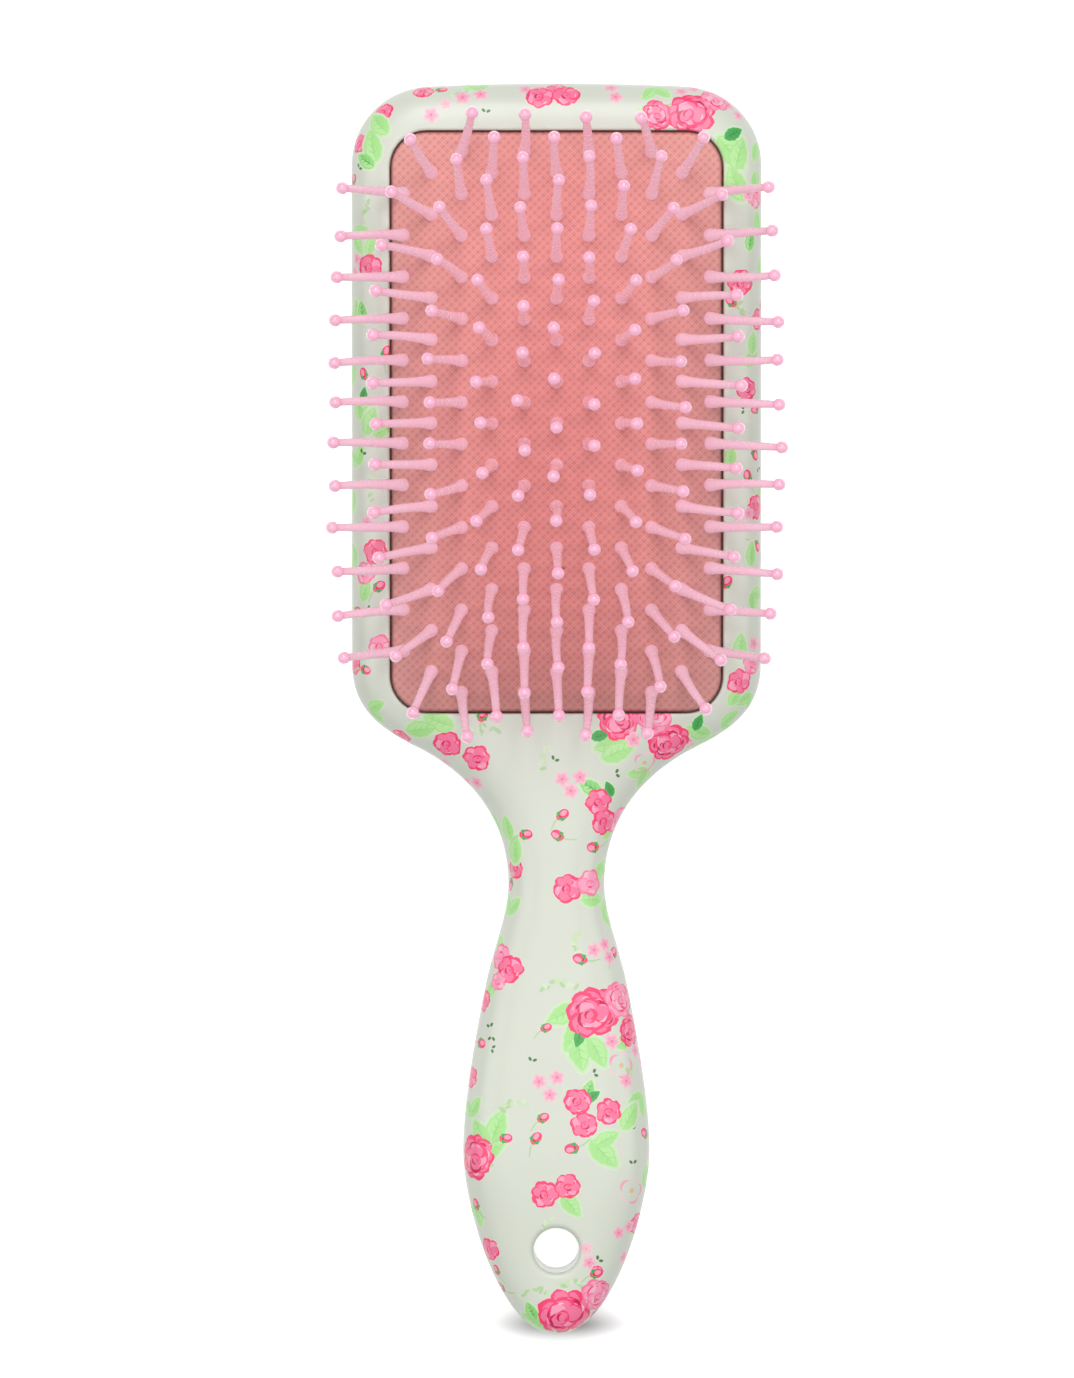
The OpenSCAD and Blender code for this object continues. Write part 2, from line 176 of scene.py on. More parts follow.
class Skin:
    """The outside of one shell. Its flat pattern is the plan with the rounded edge unrolled outwards."""

    EDGE_SPREAD = 1.6
    WAIST_SPREAD = 0.93
    WAIST = (-75, -12)
    WINDOW_LIP = 0.55
    HOLE_LIP = 1.1

    def __init__(self, surface, seam, up, window):
        self.surface, self.seam, self.up, self.window = surface, seam, up, window
        self.p, self.n, self.d = outline()
        self.r = along(EDGE_R, self.p[:, 1])
        self.core = self.p - self.n * self.r[:, None]
        # the edge is a superellipse wider than the nominal radius: no line shows where it meets the flat
        waist = (self.p[:, 1] > self.WAIST[0]) & (self.p[:, 1] < self.WAIST[1])
        spread = self.EDGE_SPREAD * self.r
        self.wide = np.where(waist, np.minimum(spread, self.WAIST_SPREAD * np.abs(self.p[:, 0])), spread)
        self.power = 1 + self.wide / self.r
        self.tree = KDTree(len(self.core))
        for k, c in enumerate(self.core):
            self.tree.insert((c[0], c[1], 0), k)
        self.tree.balance()

    def rim(self, turn):
        """Pattern points along the unrolled edge at one angle."""
        k = np.arange(0, len(self.core), RIM_STRIDE)
        return self.core[k] + self.n[k] * (self.r[k] * turn)[:, None]

    def place(self, q):
        """Pattern points to the outside surface: positions and normals in mm."""
        q = np.asarray(q, float)
        k = np.array([self.tree.find((a, b, 0))[1] for a, b in q])
        rel = q - self.core[k]
        out = np.einsum("ij,ij->i", rel, self.n[k])
        slide = np.einsum("ij,ij->i", rel, self.d[k])
        r = self.r[k]
        turn = np.clip(out / r, 0, HALF_PI)
        band = out > 0
        rolled = self.core[k] + self.d[k] * slide[:, None] + self.n[k] * (r * np.sin(turn))[:, None]
        xy = np.where(band[:, None], rolled, q)
        inset = np.where(band, r * (1 - np.sin(turn)), r - out)
        h = along(self.surface, xy[:, 1]) - self.seam
        rate = along_rate(self.surface, xy[:, 1])
        wide, power = self.wide[k], self.power[k]
        u = np.clip(1 - inset / wide, 0, 1)
        rise = np.maximum(1 - u ** power, 0) ** (1 / power)
        flat = np.maximum(1 - u ** power, 0) ** (1 - 1 / power)
        z = self.seam + h * rise
        nor = np.zeros((len(q), 3))
        nor[:, :2] = self.n[k] * (np.abs(h) * u ** (power - 1) / wide)[:, None]
        nor[:, 1] -= rate * self.up * rise * flat
        nor[:, 2] = flat
        nor /= np.linalg.norm(nor, axis=1)[:, None]
        if self.window:
            d, gx, gy = rect_sdf(q[:, 0], q[:, 1] - WINDOW_Y, WINDOW_W / 2, WINDOW_L / 2, WINDOW_R)
            lip = self.WINDOW_LIP
            xy, z, nor = self.turn_in(xy, z, nor, lip - d, gx, gy, lip)
        dx, dy = q[:, 0], q[:, 1] - HANG_Y
        far = np.maximum(np.hypot(dx, dy), 1e-6)
        lip = self.HOLE_LIP
        xy, z, nor = self.turn_in(xy, z, nor, lip + HANG_R - far, dx / far, dy / far, lip)
        nor[:, 2] *= self.up
        return np.column_stack([xy, z]), nor

    def turn_in(self, xy, z, nor, depth, gx, gy, r):
        """Rolls the surface over an opening's rim: depth is the distance past the start of the roll."""
        t = np.clip(depth / r, 0, HALF_PI)
        g = np.stack([gx, gy], 1)
        past = np.maximum(depth, 0)
        straight = np.maximum(depth - r * HALF_PI, 0)
        xy = xy + g * (past - r * np.sin(t))[:, None]
        z = z - self.up * (r * (1 - np.cos(t)) + straight)
        tilt = np.cos(t)[:, None] * nor
        tilt[:, :2] -= g * np.sin(t)[:, None]
        return xy, z, tilt / np.linalg.norm(tilt, axis=1)[:, None]


# ---- print: flat shapes on the unrolled skin

def srgb(r, g, b):
    """Linear colour of an 8-bit display colour."""
    return tuple(((c / 255 + 0.055) / 1.055) ** 2.4 for c in (r, g, b))


PAINT = {
    "deep": srgb(205, 28, 84), "hot": srgb(247, 66, 116), "mid": srgb(246, 122, 160),
    "light": srgb(250, 160, 190), "pale": srgb(246, 190, 206), "ghost": srgb(234, 208, 210),
    "blush": srgb(240, 166, 188), "straw": srgb(222, 190, 142), "leaf": srgb(170, 226, 144),
    "leaf_lit": srgb(182, 232, 158), "leaf_wash": srgb(197, 229, 178), "leaf_haze": srgb(211, 226, 199),
    "leaf_fold": srgb(156, 218, 132), "leaf_mid": srgb(142, 214, 122), "leaf_deep": srgb(70, 172, 88),
    "leaf_dark": srgb(78, 122, 66), "mist": srgb(200, 221, 180), "mist_deep": srgb(180, 209, 160),
    "ivory": srgb(212, 217, 204), "lit_hole_wall": srgb(250, 250, 246),
}

# a rose's darkest fold, rim, face and lit petal
RICH, SOFT = ("deep", "hot", "mid", "light"), ("hot", "mid", "light", "pale")
LEAF_FOLD = {"leaf": "leaf_fold", "leaf_mid": "leaf_deep", "leaf_deep": "leaf_dark"}
LEAF_LIT = {"leaf": "leaf_lit", "leaf_mid": "leaf", "leaf_deep": "leaf_deep"}


def signed_area(pts):
    """Twice the area inside a closed outline, positive when it runs anticlockwise."""
    return sum(a[0] * b[1] - b[0] * a[1] for a, b in zip(pts, list(pts[1:]) + [pts[0]]))


def polar(x, y, d, a):
    """The point at distance d from x, y in direction a."""
    return x + d * cos(a), y + d * sin(a)


def turned(x, y, turn):
    """Gives a function that places (u, v) in a frame at x, y that is turned by an angle."""
    c, s = cos(turn), sin(turn)
    return lambda u, v: (x + u * c - v * s, y + u * s + v * c)


def circle(x, y, r, n):
    return [polar(x, y, r, a) for a in np.linspace(0, TURN, n, endpoint=False)]


class Print:
    """A list of (closed outline, paint), later ones on top."""

    def __init__(self, seed):
        self.shapes, self.rnd = [], random.Random(seed)

    def add(self, pts, paint):
        self.shapes.append((pts if signed_area(pts) > 0 else pts[::-1], paint))

    def blob(self, x, y, rx, ry, turn, paint, n=16, wob=0.07):
        at = turned(x, y, turn)
        # this draw has no use of its own, but without it every later flower would change
        self.rnd.random()
        pts = []
        for k in range(n):
            a = TURN * k / n
            m = 1 + self.rnd.uniform(-wob, wob)
            pts.append(at(rx * m * cos(a), ry * m * sin(a)))
        self.add(pts, paint)

    def crescent(self, x, y, r, turn, span, width, paint):
        n = 9
        outer, inner = [], []
        for k in range(n):
            t = k / (n - 1)
            a = turn - span / 2 + span * t
            w = width * sin(pi * t)
            outer.append(polar(x, y, r + w / 2, a))
            inner.append(polar(x, y, r - w / 2, a))
        self.add(outer + inner[-2:0:-1], paint)

    def stroke(self, pts, width, paint):
        left, right = [], []
        for k, (x, y) in enumerate(pts):
            x0, y0 = pts[max(k - 1, 0)]
            x1, y1 = pts[min(k + 1, len(pts) - 1)]
            d = hypot(x1 - x0, y1 - y0) or 1
            nx, ny = -(y1 - y0) / d, (x1 - x0) / d
            w = width * (0.35 + 0.65 * sin(pi * min(0.9, 0.15 + k / len(pts)))) / 2
            left.append((x + nx * w, y + ny * w))
            right.append((x - nx * w, y - ny * w))
        self.add(left + right[::-1], paint)

    def scallop(self, x, y, rx, ry, turn, paint, lobes, depth=0.12):
        at = turned(x, y, turn)
        pts = []
        for k in range(lobes * 6):
            a = TURN * k / (lobes * 6)
            m = 1 - depth + depth * abs(cos(lobes * a / 2)) ** 0.6 + self.rnd.uniform(-0.012, 0.012)
            pts.append(at(rx * m * cos(a), ry * m * sin(a)))
        self.add(pts, paint)

    def petal(self, x, y, r, a, width, lean, outer, face):
        """One petal facing along a: its rim shows as a crescent of uneven width beyond its face."""
        wide = self.rnd.uniform(0.86, 1.14)
        self.blob(x, y, r, r * width * wide, a, outer, n=13, wob=0.10)
        back = r * self.rnd.uniform(0.10, 0.30)
        side = r * lean * self.rnd.uniform(0.04, 0.22)
        fx = x - back * cos(a) - side * sin(a)
        fy = y - back * sin(a) + side * cos(a)
        self.blob(fx, fy, r * 0.90, r * width * wide * 0.86, a, face, n=13, wob=0.09)

    def rose(self, x, y, r, turn, rich=True):
        """A full-blown rose: broad overlapping petals, an off-centre heart and loose brush strokes."""
        squash = 0.86
        edge, rim, face, inner = RICH if rich else SOFT
        rnd = self.rnd
        place = turned(x, y, turn)

        def at(a, d):
            return place(d * cos(a), d * squash * sin(a))

        self.scallop(x, y, r * 0.96, r * squash * 0.96, turn, rim, 9, 0.16)
        for k in range(9):
            a = k * 0.698 + rnd.uniform(-0.16, 0.16)
            px, py = at(a, r * rnd.uniform(0.62, 0.70))
            self.petal(px, py, r * rnd.uniform(0.34, 0.42), turn + a, 0.95, k % 2 * 2 - 1, rim, face)
        for k in range(6):
            a = k * 1.047 + rnd.uniform(-0.25, 0.25) + 0.4
            px, py = at(a, r * 0.36)
            self.petal(px, py, r * rnd.uniform(0.30, 0.37), turn + a, 1.05, k % 2 * 2 - 1,
                       rim if k % 3 else edge, face if k % 2 else inner)
        hx, hy = at(3.5, r * 0.16)
        self.petal(hx, hy, r * 0.30, turn + 0.6, 0.9, 1, rim, face)
        self.crescent(hx, hy, r * 0.17, turn + 2.4, 2.6, r * 0.09, edge)
        self.crescent(hx + 0.05 * r, hy - 0.02 * r, r * 0.09, turn + 5.2, 2.4, r * 0.08, rim)
        # loose strokes across the petals, light on the crowns and dark in the folds
        for k in range(7):
            a = k * 0.9 + rnd.uniform(-0.3, 0.3)
            px, py = at(a, r * rnd.uniform(0.45, 0.82))
            px -= 0.2 * r * cos(turn + a)
            py -= 0.2 * r * sin(turn + a)
            self.crescent(px, py, r * 0.24, turn + a + rnd.uniform(-0.5, 0.5), rnd.uniform(1.0, 1.7),
                          r * rnd.uniform(0.05, 0.10), inner if k % 2 else "pale")
        for k in range(4):
            a = 1.1 + k * 1.5 + rnd.uniform(-0.3, 0.3)
            px, py = at(a, r * rnd.uniform(0.30, 0.55))
            self.crescent(px, py, r * 0.30, turn + a + rnd.uniform(-0.6, 0.6), rnd.uniform(0.9, 1.5),
                          r * rnd.uniform(0.07, 0.12), edge if k % 2 else rim)

    def small_rose(self, x, y, r, turn, rich=True):
        """The same rose with fewer petals."""
        edge, rim, face, inner = RICH if rich else SOFT
        rnd = self.rnd
        self.scallop(x, y, r * 0.94, r * 0.86, turn, rim, 7, 0.16)
        for k in range(6):
            a = turn + k * 1.047 + rnd.uniform(-0.2, 0.2)
            d = r * rnd.uniform(0.52, 0.60)
            self.petal(x + d * cos(a), y + d * 0.92 * sin(a), r * rnd.uniform(0.38, 0.46), a, 0.95,
                       k % 2 * 2 - 1, rim, face if k % 3 else inner)
        hx, hy = x - 0.10 * r * cos(turn), y - 0.10 * r * sin(turn)
        self.petal(hx, hy, r * 0.36, turn + 0.5, 0.9, 1, rim, face)
        self.crescent(hx, hy, r * 0.22, turn + 2.6, 2.5, r * 0.13, edge)
        self.crescent(hx, hy, r * 0.10, turn + 5.4, 2.2, r * 0.10, rim)
        for k in range(3):
            a = turn + 0.6 + k * 2.1 + rnd.uniform(-0.3, 0.3)
            self.crescent(x + r * 0.38 * cos(a), y + r * 0.36 * sin(a), r * 0.26, a, 1.4, r * 0.09,
                          "pale" if k else inner)

    def bud(self, x, y, r, turn):
        """A closed bud with a stem and two sepals."""
        at = turned(x, y, turn)
        stem = [at(-r * 0.6, 0), at(-r * 1.6, -r * 0.25), at(-r * 2.6, -r * 0.9)]
        self.stroke(stem, r * 0.24, "mist_deep")
        self.blob(x, y, r, r * 0.72, turn, "hot", n=14, wob=0.04)
        px, py = at(r * 0.25, r * 0.12)
        self.blob(px, py, r * 0.52, r * 0.34, turn, "light", n=10)
        self.crescent(x, y, r * 0.45, turn + 3.4, 2.4, r * 0.22, "deep")
        for side in (-1, 1):
            self.add([at(-r * 0.75, 0), at(-r * 0.55, side * r * 0.75),
                      at(r * 0.25, side * r * 0.62), at(-r * 0.35, side * r * 0.3)], "leaf_deep")

    def flower(self, x, y, r, turn, faint=False):
        """Five round petals with a darker inner half."""
        outer, inner, heart = ("ghost", "pale", "straw") if faint else ("pale", "blush", "mid")
        for off, rx, ry, paint, n in ((0.52, 0.52, 0.44, outer, 12), (0.40, 0.34, 0.26, inner, 9)):
            for k in range(5):
                a = turn + k * 1.257
                self.blob(*polar(x, y, r * off, a), r * rx, r * ry, a, paint, n=n, wob=0.05)
        self.blob(x, y, r * 0.20, r * 0.20, 0, heart, n=8)

    def leaf(self, x, y, r, turn, tone="leaf", wash=False):
        """A broad leaf with a lit half, a midrib and a few veins, or only the pale wash round it."""
        at = turned(x, y, turn)

        def blade(grow, low_side, high_side):
            n = 12
            top, low = [], []
            for k in range(n + 1):
                t = k / n
                notch = 1 - 0.10 * (k % 3 == 0)
                w = r * 0.62 * sin(pi * t ** 0.8) ** 0.8 * notch if 0 < k < n else 0.0
                w = max(w + grow, 0.02 * r)
                u = (-r + 2 * r * t) * (1 + grow / r)
                top.append(at(u, w * high_side))
                low.append(at(u, -w * low_side))
            return top + low[::-1]

        if wash:
            self.add(blade(0.19 * r, 0.9, 1.0), "leaf_haze")
            self.add(blade(0.09 * r, 0.9, 1.0), "leaf_wash")
            return
        self.add(blade(0.0, 0.9, 1.0), tone)
        self.add(blade(-0.06 * r, 0.0, 0.92), LEAF_LIT[tone])
        fold = LEAF_FOLD[tone]
        self.add([at(-r * 0.95, 0), at(-r * 0.2, -r * 0.05), at(r * 0.8, 0), at(-r * 0.2, r * 0.05)], fold)
        for u in (-0.5, -0.1, 0.3):
            for side in (-1, 1):
                self.add([at(r * u, side * 0.03 * r), at(r * (u + 0.34), side * 0.36 * r),
                          at(r * (u + 0.10), side * 0.04 * r)], fold)

    def leaf_pair(self, x, y, r, turn):
        """Two tiny dark leaves."""
        for side in (-1, 1):
            a = turn + side * 0.85
            self.blob(*polar(x, y, r * 0.85, a), r * 0.62, r * 0.40, a, "leaf_dark", n=8, wob=0.04)

    def sprig(self, x, y, r, turn):
        """Faint small leaves scattered along a bent line, as if painted with a nearly dry brush."""
        at = turned(x, y, turn)
        for k in range(11):
            t = (k + self.rnd.uniform(-0.3, 0.3)) / 10
            u, v = (t - 0.5) * 2 * r, 0.25 * r * sin(3 * t) + self.rnd.uniform(-0.55, 0.55)
            size = self.rnd.uniform(0.48, 0.92)
            angle = turn + self.rnd.choice((-0.9, 0.9, 0.2))
            paint = self.rnd.choice(("mist", "mist_deep", "leaf_haze"))
            self.blob(*at(u, v), size, size * 0.5, angle, paint, n=7, wob=0.08)


def front_print():
    """Roses, buds, leaves and small flowers laid out over the front."""
    p = Print(11)
    # leaves and misty sprigs first, so that flowers lie over them
    leaves = [
        (4.4, -66, 3.2, 4.9), (-11.6, -81, 2.6, 1.2), (9.2, -86.2, 2.8, 5.5), (34, 109, 3.2, 5.4),
        (30.4, -8.2, 2.6, 0.6), (10.6, -6.2, 2.6, 3.4), (-23, -1.8, 2.4, 2.8), (-7.2, -121, 2.2, 2.4),
        (6.6, -14.6, 2.0, 2.6, "leaf_mid"), (-35, 115, 2.4, 2.3), (-36, 110.5, 2.6, 1.8),
        (-37.5, 107.5, 1.8, 2.6, "leaf_mid"), (35.6, 108.8, 2.6, 1.3), (35, 103, 2.8, 2.0),
        (34.6, 112.8, 1.7, 0.5, "leaf_deep"), (-36.5, 56.8, 2.2, 1.2), (-33.9, 54.9, 1.6, 0.4),
        (-38, 61.7, 1.4, 1.4, "leaf_deep"), (-26.5, -3.5, 2.4, 0.2), (12, -7.7, 2.6, 0.4),
        (28, -4.3, 2.2, 2.6), (27.7, -2.1, 1.4, 1.2, "leaf_deep"), (8.6, -4.5, 1.5, 0.3, "leaf_deep"),
        (38.6, 31, 1.8, 1.5), (36, 12.8, 2.0, 1.5), (33.9, 50, 1.6, 1.5), (35, 3, 1.6, 1.0),
        (-10.1, -23, 1.9, 1.7), (-8.6, -27, 2.2, 1.4), (7.5, -36.6, 2.0, 0.0),
        (10.4, -15, 1.3, 2.0, "leaf_deep"), (1.2, -59, 2.6, 3.6), (3.4, -63.2, 2.7, 4.2),
        (8, -66.4, 2.5, 5.2), (4.4, -63.6, 1.5, 4.4, "leaf_deep"), (-15, -82.3, 2.3, 2.2),
        (-12.8, -85.4, 2.4, 0.5), (9.8, -83.4, 2.0, 0.5), (14.6, -79, 2.3, 1.0),
        (6.3, -73.8, 1.6, 1.3, "leaf_mid"), (7.1, -75, 1.3, 0.6, "leaf_deep"), (2.8, -96.4, 2.1, 5.4),
        (-4.6, -120.2, 2.4, 2.6), (13.8, -64.4, 1.8, 0.4), (-5, -117.6, 1.6, 2.0, "leaf_mid"),
        (39, 72, 1.6, 1.5), (-38.4, 78, 1.7, 1.7, "leaf_mid"), (-37.6, 24, 1.8, 1.3),
        (38.2, 92, 1.6, 1.4, "leaf_mid"), (-36.4, 91, 1.5, 1.2)]
    for wash in (True, False):
        for x, y, r, a, *tone in leaves:
            p.leaf(x, y, 1.28 * r, a, *tone, wash=wash)
    for x, y, r, a in [
            (0.5, -53.7, 3.2, 0.1), (-4.4, -114.2, 3.0, 0.3), (3.4, -112.5, 2.4, -0.2),
            (-18, 121, 2.6, 0.1), (19, 117.5, 3.0, 0.2), (-14.5, -3.8, 3.0, 0.2), (-2, -9, 2.4, 1.2),
            (-8.4, -77, 2.6, 0.2), (4, -45, 1.8, 1.5), (-1.6, -100.8, 2.0, 1.3), (-36, 44, 2.4, 1.5),
            (36.4, 80, 2.6, 1.5), (-37, 98, 2.4, 1.4), (36.6, 62, 2.2, 1.7), (-14.6, -90, 2.2, 0.4),
            (15, -70.6, 1.8, 1.1)]:
        p.sprig(x, y, r, a)
    # large roses
    for x, y, r, a, *rich in [
            (26.2, 116.8, 4.4, 0.2), (31.6, 120.6, 3.2, 1.0, False), (19.4, 116.4, 2.9, 2.0),
            (22, -6.2, 3.9, 0.6), (12, -1.4, 4.0, 2.2), (19, -1.0, 3.4, 4.0, False),
            (16.4, 3.6, 2.4, 1.2), (7.2, -58.8, 4.9, 0.3), (12.9, -56.2, 3.4, 2.4, False),
            (15.6, -62.2, 3.0, 1.0), (1.8, -118.2, 5.1, 0.5), (8.2, -114.6, 3.3, 2.0, False),
            (-16.4, -87, 4.3, 1.4)]:
        p.rose(x, y, 1.07 * r, a, *rich)
    for x, y, r, a, *rich in [
            (-3.2, 120.4, 2.6, 0.3), (1.9, 120.8, 2.5, 1.2), (-36.6, 86.8, 2.5, 0.6),
            (-35.4, 31.4, 2.4, 2.0), (-37.8, 27.2, 2.2, 1.0, False), (-34.4, 12.8, 2.3, 0.2, False),
            (36, 83.8, 2.5, 1.0), (37.4, 63, 2.2, 2.6), (35.8, 6, 2.4, 0.6), (38.8, 9.4, 2.1, 1.8, False),
            (-21.4, -6.4, 2.6, 0.2), (-15.6, -9, 2.5, 2.2), (8.2, -17.4, 2.4, 1.2),
            (9.6, -21.6, 2.5, 0.4), (2.2, -34.4, 2.7, 0.4), (6.8, -33.4, 2.5, 2.0, False),
            (-9.3, -50.2, 2.7, 0.8), (-12, -52.6, 1.8, 2.4, False), (4.2, -76, 2.6, 0.1),
            (10.2, -78, 2.4, 1.6), (5.4, -80.6, 2.5, 2.8), (-2.3, -94.2, 2.6, 0.9),
            (2.2, -92.6, 2.4, 2.2), (8, -109.6, 1.2, 2.2)]:
        p.small_rose(x, y, 1.14 * r, a, *rich)
    for x, y, r, a in [
            (-33, 70.2, 1.5, 1.2), (-34.6, 24.6, 1.4, 0.6), (34, 80.2, 1.4, 2.2), (33.2, 25.4, 1.4, 1.0),
            (1.2, -20, 1.4, 0.6), (-6, -23.9, 1.4, 0.1), (0.2, -24, 1.4, 2.6), (7.4, -26.5, 1.5, 3.0),
            (4.6, -48.2, 1.5, 2.8), (-2, -61.6, 1.2, 0.4), (-2.6, -79.2, 1.3, 0.5),
            (-4, -83.2, 1.4, 0.9), (3, -85.2, 1.5, 3.3), (-9.9, -83.2, 1.3, 0.1), (7.8, -110, 1.3, 0.2),
            (-12.4, -109.8, 1.2, 1.9), (-16.6, -96.7, 1.3, 2.0), (-14.4, -0.4, 1.5, 1.2),
            (37.6, 46, 1.4, 1.8), (-38, 66, 1.3, 2.0)]:
        p.bud(x, y, r, a)
    for x, y, r, *faint in [
            (1.1, -13, 1.5), (4.6, -12.6, 1.5), (2.8, -15.3, 1.5), (7.4, -46.5, 1.5), (9.9, -45.3, 1.4),
            (10.9, -47.8, 1.5), (-3.4, -72.1, 1.5), (0.1, -71.3, 1.5), (-1.3, -74.7, 1.5),
            (-18.3, 120.2, 1.6), (-14.8, 121, 1.5), (-24.4, 116.4, 1.6), (-21.6, 118.6, 1.4, True),
            (12.3, -102, 1.3), (14.8, -101, 1.3), (5.8, -105, 1.5, True), (6.4, -107.8, 1.4),
            (15, -5.3, 1.6), (10.9, -64.3, 1.6), (13.8, -72.1, 1.5), (-37.2, 37, 1.5),
            (-35.2, 39.2, 1.4, True), (37.6, 101, 1.5), (36, 36.4, 1.5, True), (37.8, 38.8, 1.4)]:
        p.flower(x, y, r, p.rnd.uniform(0, 1.2), *faint)
    for x, y, r in [(15, -93.7, 2.7), (17.3, -10, 2.2), (12.8, -69, 2.6)]:
        for k in range(5):
            a = 1.257 * k
            p.crescent(*polar(x, y, 0.45 * r, a), r * 0.5, a, 2.6, r * 0.22, "ghost" if k % 2 else "blush")
        p.blob(x, y, r * 0.2, r * 0.2, 0, "straw", n=8)
    for x, y, a in [
            (-0.5, -9.4, 1.0), (11.5, -12, 0.2), (-4.8, -68.2, 1.3), (7.2, -70.6, 0.4),
            (15.2, -88.4, 1.6), (8.1, -107.4, 0.8), (-13.8, 116.8, 1.4), (-13.4, -61.6, 1.8),
            (-12.9, -63.4, 4.6), (-38.4, 50.4, 1.0)]:
        p.leaf_pair(x, y, 0.75, a)
    return p.shapes


MAX_TRIES = 4000
# the scatter keeps off the space beside the handle and off the hanging hole
PADDLE_END, HANDLE_REACH, HOLE_CLEAR = 5, 16, 7


def back_print():
    """The same kinds of flowers scattered by chance over the back."""
    p = Print(29)
    rnd = p.rnd
    taken = []
    # how many, how far apart in mm, and what
    kinds = ((9, 20.0, "cluster"), (20, 9.0, "pair"), (26, 4.6, "flower"),
             (30, 3.8, "bud"), (30, 3.0, "sprig"), (40, 2.2, "dots"))

    def free(x, y, r):
        return all(hypot(x - a, y - b) > r + c for a, b, c in taken)

    def cluster(x, y, big):
        a = rnd.uniform(0, 6.28)
        for wash in (True, False):
            for k in range(3):
                b = a + 2.1 * k
                p.leaf(*polar(x, y, big * 1.1, b), big * 0.62, b, "leaf" if k else "leaf_mid", wash)
        p.sprig(*polar(x, y, big * 1.7, a + 1), big * 0.6, a + 1)
        p.rose(x, y, big, a, True)
        p.rose(*polar(x, y, big * 1.1, a + 0.7), big * 0.7, a + 2, False)
        p.small_rose(*polar(x, y, big * 1.05, a - 0.7), big * 0.55, a, True)

    for want, gap, kind in kinds:
        made = tries = 0
        while made < want and tries < MAX_TRIES:
            tries += 1
            x, y = rnd.uniform(-HALF_W, HALF_W), rnd.uniform(-HALF_L, HALF_L)
            off_handle = y < PADDLE_END and abs(x) > HANDLE_REACH
            at_hole = hypot(x, y - HANG_Y) < HOLE_CLEAR
            if off_handle or at_hole or not free(x, y, gap * 0.55):
                continue
            taken.append((x, y, gap * 0.55))
            made += 1
            a = rnd.uniform(0, 6.28)
            if kind == "cluster":
                cluster(x, y, rnd.uniform(3.8, 4.8))
            elif kind == "pair":
                for wash in (True, False):
                    p.leaf(*polar(x, y, -2.4, a), 2.4, a, "leaf", wash)
                p.small_rose(x, y, 2.8, a, True)
                p.small_rose(*polar(x, y, 3.9, a + 1), 2.5, a, rnd.random() < 0.5)
            elif kind == "flower":
                p.flower(x, y, 1.5, a, rnd.random() < 0.25)
                p.flower(*polar(x, y, 2.9, a), 1.4, a)
            elif kind == "bud":
                p.bud(x, y, 1.4, a)
            elif kind == "sprig":
                p.sprig(x, y, 2.2, a)
            else:
                p.leaf_pair(x, y, 0.75, a)
    return p.shapes


# outline points left free before the scatter meets its own start
LAST_GAP = 20


def edge_print(skin, seed):
    """The same kinds of flowers round the rolled edge, down to the seam."""
    p = Print(seed)
    rnd = p.rnd
    k = 0
    while k < len(skin.core) - LAST_GAP:
        turn = rnd.uniform(0.85, 1.25)
        x, y = skin.core[k] + skin.n[k] * skin.r[k] * turn
        a = rnd.uniform(0, 6.28)
        kind = rnd.choice(("rose", "pair", "leaf", "flower", "bud", "leaf"))
        if kind == "rose":
            for wash in (True, False):
                p.leaf(*polar(x, y, -2.6, a), 2.2, a, "leaf", wash)
            p.small_rose(x, y, rnd.uniform(2.3, 2.9), a, rnd.random() < 0.7)
        elif kind == "pair":
            p.small_rose(x, y, 2.3, a, True)
            p.bud(*polar(x, y, 3.6, a), 1.3, a)
        elif kind == "leaf":
            for wash in (True, False):
                for b in (a - 0.6, a + 0.7):
                    p.leaf(*polar(x, y, 2, b), 2.2, b, "leaf", wash)
        elif kind == "flower":
            p.flower(x, y, 1.5, a)
            p.flower(*polar(x, y, 3, a), 1.4, a)
        else:
            p.bud(x, y, 1.4, a)
            p.leaf_pair(*polar(x, y, 3, a), 0.7, a)
        k += int(rnd.uniform(7.0, 11.0) / OUTLINE_STEP)
    return p.shapes


# ---- meshes

def make_mesh(name, verts_mm, faces, normals=None):
    """A smooth-shaded mesh object from points in mm."""
    me = bpy.data.meshes.new(name)
    me.from_pydata([tuple(v) for v in np.asarray(verts_mm) * MM], [], [tuple(f) for f in faces])
    me.validate(verbose=False)
    me.update()
    me.polygons.foreach_set("use_smooth", [True] * len(me.polygons))
    if normals is not None:
        me.normals_split_custom_set_from_vertices([tuple(n) for n in normals])
    ob = bpy.data.objects.new(name, me)
    bpy.context.scene.collection.objects.link(ob)
    return ob


def store_colours(ob, name, domain, colours):
    """Keeps one colour for every point or corner as an attribute that the material reads."""
    att = ob.data.color_attributes.new(name, "FLOAT_COLOR", domain)
    att.data.foreach_set("color", np.column_stack([colours, np.ones(len(colours))]).ravel())


def ring_faces(base, n):
    """Faces between two closed rows of n points each."""
    return [[base + k, base + (k + 1) % n, base + n + (k + 1) % n, base + n + k] for k in range(n)]


def paint_borders(tris, paints):
    """Edges of a flat triangulation where the paint changes, and the points of its outer rims."""
    seen = {}
    for f, tone in zip(tris, paints):
        for a, b in ((f[0], f[1]), (f[1], f[2]), (f[2], f[0])):
            seen.setdefault((min(a, b), max(a, b)), []).append(tone)
    borders = sorted(e for e, found in seen.items() if len(found) == 1 or found[0] != found[1])
    ends = {v for e in borders if not all(p in PAINT for p in seen[e]) for v in e}
    return borders, ends


